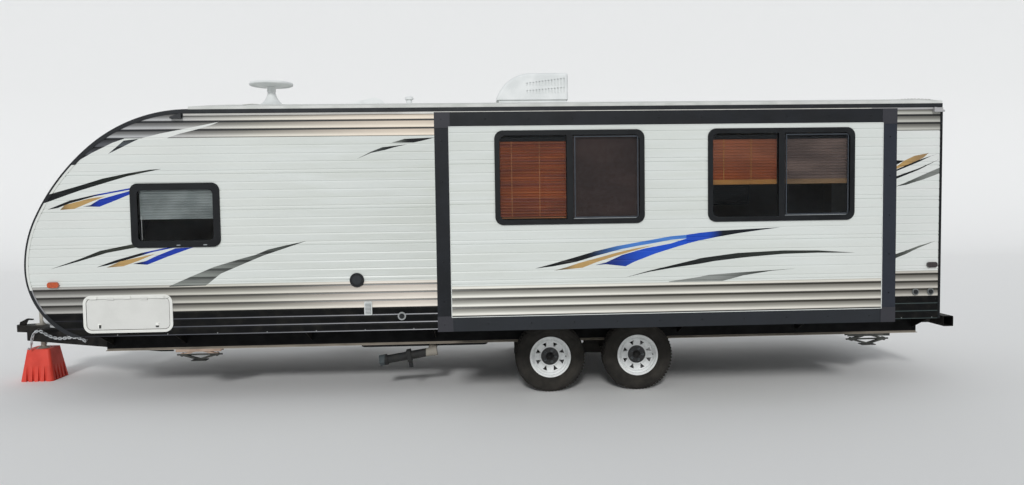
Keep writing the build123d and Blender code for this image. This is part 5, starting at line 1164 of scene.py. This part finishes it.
# Screws along the fascia's bars, sunk so that nothing stands out past the window frames
def fascia_rows():
    parts = []
    level_pitch, upright_pitch, lowest_up, upright_ends, sunk = 0.36, 0.33, 0.25, 0.4, 0.0019
    bar_middle, face, size = fascia_bar / 2, fascia_low.y + sunk, fascia_high - fascia_low
    for height in (fascia_low.z + bar_middle, fascia_high.z - bar_middle):
        start = (fascia_low.x + bar_middle, face, height)
        count = int((size.x - fascia_bar) / level_pitch) + 1
        parts.append(side_row(pan_screw, black_trim, -1, start, (level_pitch, 0, 0), count))
    for x in (fascia_low.x + bar_middle, fascia_high.x - bar_middle):
        count = int((size.z - upright_ends) / upright_pitch) + 1
        start = (x, face, fascia_low.z + lowest_up)
        parts.append(side_row(pan_screw, black_trim, -1, start, (0, upright_pitch, 0), count))
    return parts


joined("side_screws_and_drain_covers", "trailer", side_rows(), 35)
joined("slide_fascia_screws", "slide_out", fascia_rows(), 35)

# Roof: end bars bent onto its crown, with dabs of sealant along them
end_bar_places = (2.71, 9.25)
crown_rise = 0.120
crown_radius = (half_body ** 2 + crown_rise ** 2) / (2 * crown_rise)
end_bar_half, dab_pitch, dab_count = 1.12, 0.06, 37


def sealant_dab(bm):
    turned(bm, [(0.0, 0.0052), (0.006, 0.0048), (0.012, 0.003), (0.0155, 0.0), (0.016, -0.003)], 12,
           closed=False)


# Along Y in short lengths, so that it can follow the crown
def end_bar(bm):
    steps = 24
    section = [(-0.014, -0.002), (-0.014, 0.001), (-0.012, 0.003), (0.012, 0.003), (0.014, 0.001),
               (0.014, -0.002)]
    rings = [[bm.verts.new((x, end_bar_half * (2 * i / steps - 1), z)) for x, z in section]
             for i in range(steps + 1)]
    for near, far in zip(rings, rings[1:]):
        for i in range(len(section)):
            j = (i + 1) % len(section)
            bm.faces.new((near[i], near[j], far[j], far[i]))
    bm.faces.new(rings[0])
    bm.faces.new(list(reversed(rings[-1])))


# Lowers a mesh onto the crowned roof
def crowned(mesh):
    for vertex in mesh.vertices:
        vertex.co.z -= crown_radius - (crown_radius ** 2 - vertex.co.y ** 2) ** 0.5
    return mesh


def roof_ends():
    parts = []
    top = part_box("roof")[1].z
    for x in end_bar_places:
        bar = shaped("bar", end_bar, Matrix.Translation((x, 0, top)))
        place = Matrix.Translation((x, -dab_pitch * (dab_count - 1) / 2, top + 0.002))
        dabs = repeated(mesh_object("dab", sealant_dab), row_tree, sealant, place, jitter=0.2,
                        Count=dab_count, Offset=(0, dab_pitch, 0))
        parts += [(crowned(bar), silver_rail), (crowned(dabs), sealant)]
    return parts


joined("roof_end_bars_and_sealant", "trailer", roof_ends(), 40)

# Floor that curves up into a backdrop behind the kerb side
floor_finish = bpy.data.materials.new("studio_floor")
floor_finish.use_nodes = True
floor_shader = floor_finish.node_tree.nodes["Principled BSDF"]
floor_shader.inputs["Base Color"].default_value = colour("#e9e9e8")
floor_shader.inputs["Roughness"].default_value = 0.9
floor_from_x, floor_to_x, floor_near_y, curve_y, curve_radius, backdrop_height = -60, 70, -40, 14, 6, 30


def backdrop(bm):
    turns = [a * pi / 24 for a in range(13)]
    profile = [(floor_near_y, 0.0)]
    profile += [(curve_y + curve_radius * sin(t), curve_radius - curve_radius * cos(t)) for t in turns]
    profile += [(curve_y + curve_radius, backdrop_height)]
    near, far = ([bm.verts.new((x, y, h)) for y, h in profile] for x in (floor_from_x, floor_to_x))
    for i in range(len(profile) - 1):
        bm.faces.new((near[i], far[i], far[i + 1], near[i + 1]))


studio = mesh_object("studio_backdrop", backdrop)
studio.data.transform(Matrix.Translation((0, 0, ground)))
studio.data.materials.append(floor_finish)
for face in studio.data.polygons:
    face.use_smooth = True
studio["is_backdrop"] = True

# Light: a low soft key from the road side and an even surround
key = bpy.data.lights.new("key", "SUN")
key.energy = 1.5
key.angle = radians(9)
key_object = bpy.data.objects.new("key", key)
key_object.rotation_euler = Vector((-0.12, -0.88, 0.47)).to_track_quat("Z", "Y").to_euler()
scene.collection.objects.link(key_object)
scene.world = bpy.data.worlds.new("surround")
scene.world.use_nodes = True
sky = scene.world.node_tree.nodes["Background"]
sky.inputs["Color"].default_value = (0.93, 0.96, 1.0, 1.0)
sky.inputs["Strength"].default_value = 0.52

# Camera as in the photo
camera_place = (4.8297, -8.3535, 1.2763)
lens_mm, sensor_mm = 26.936, 36.0
yaw, pitch, roll = radians(2.794), radians(-2.996), radians(0.822)
forward = Vector((sin(yaw) * cos(pitch), cos(yaw) * cos(pitch), sin(pitch)))
level_right = Vector((cos(yaw), -sin(yaw), 0))
level_down = forward.cross(level_right)
right = level_right * cos(roll) + level_down * sin(roll)
down = -level_right * sin(roll) + level_down * cos(roll)
camera = bpy.data.cameras.new("camera")
camera.lens, camera.sensor_width, camera.sensor_fit = lens_mm, sensor_mm, "HORIZONTAL"
camera_object = bpy.data.objects.new("camera", camera)
turn = Matrix((right, -down, -forward)).transposed().to_4x4()
camera_object.matrix_world = Matrix.Translation(camera_place) @ turn
scene.collection.objects.link(camera_object)
scene.camera = camera_object
scene.view_settings.view_transform = "Standard"

bounds_last = plain_bounds()
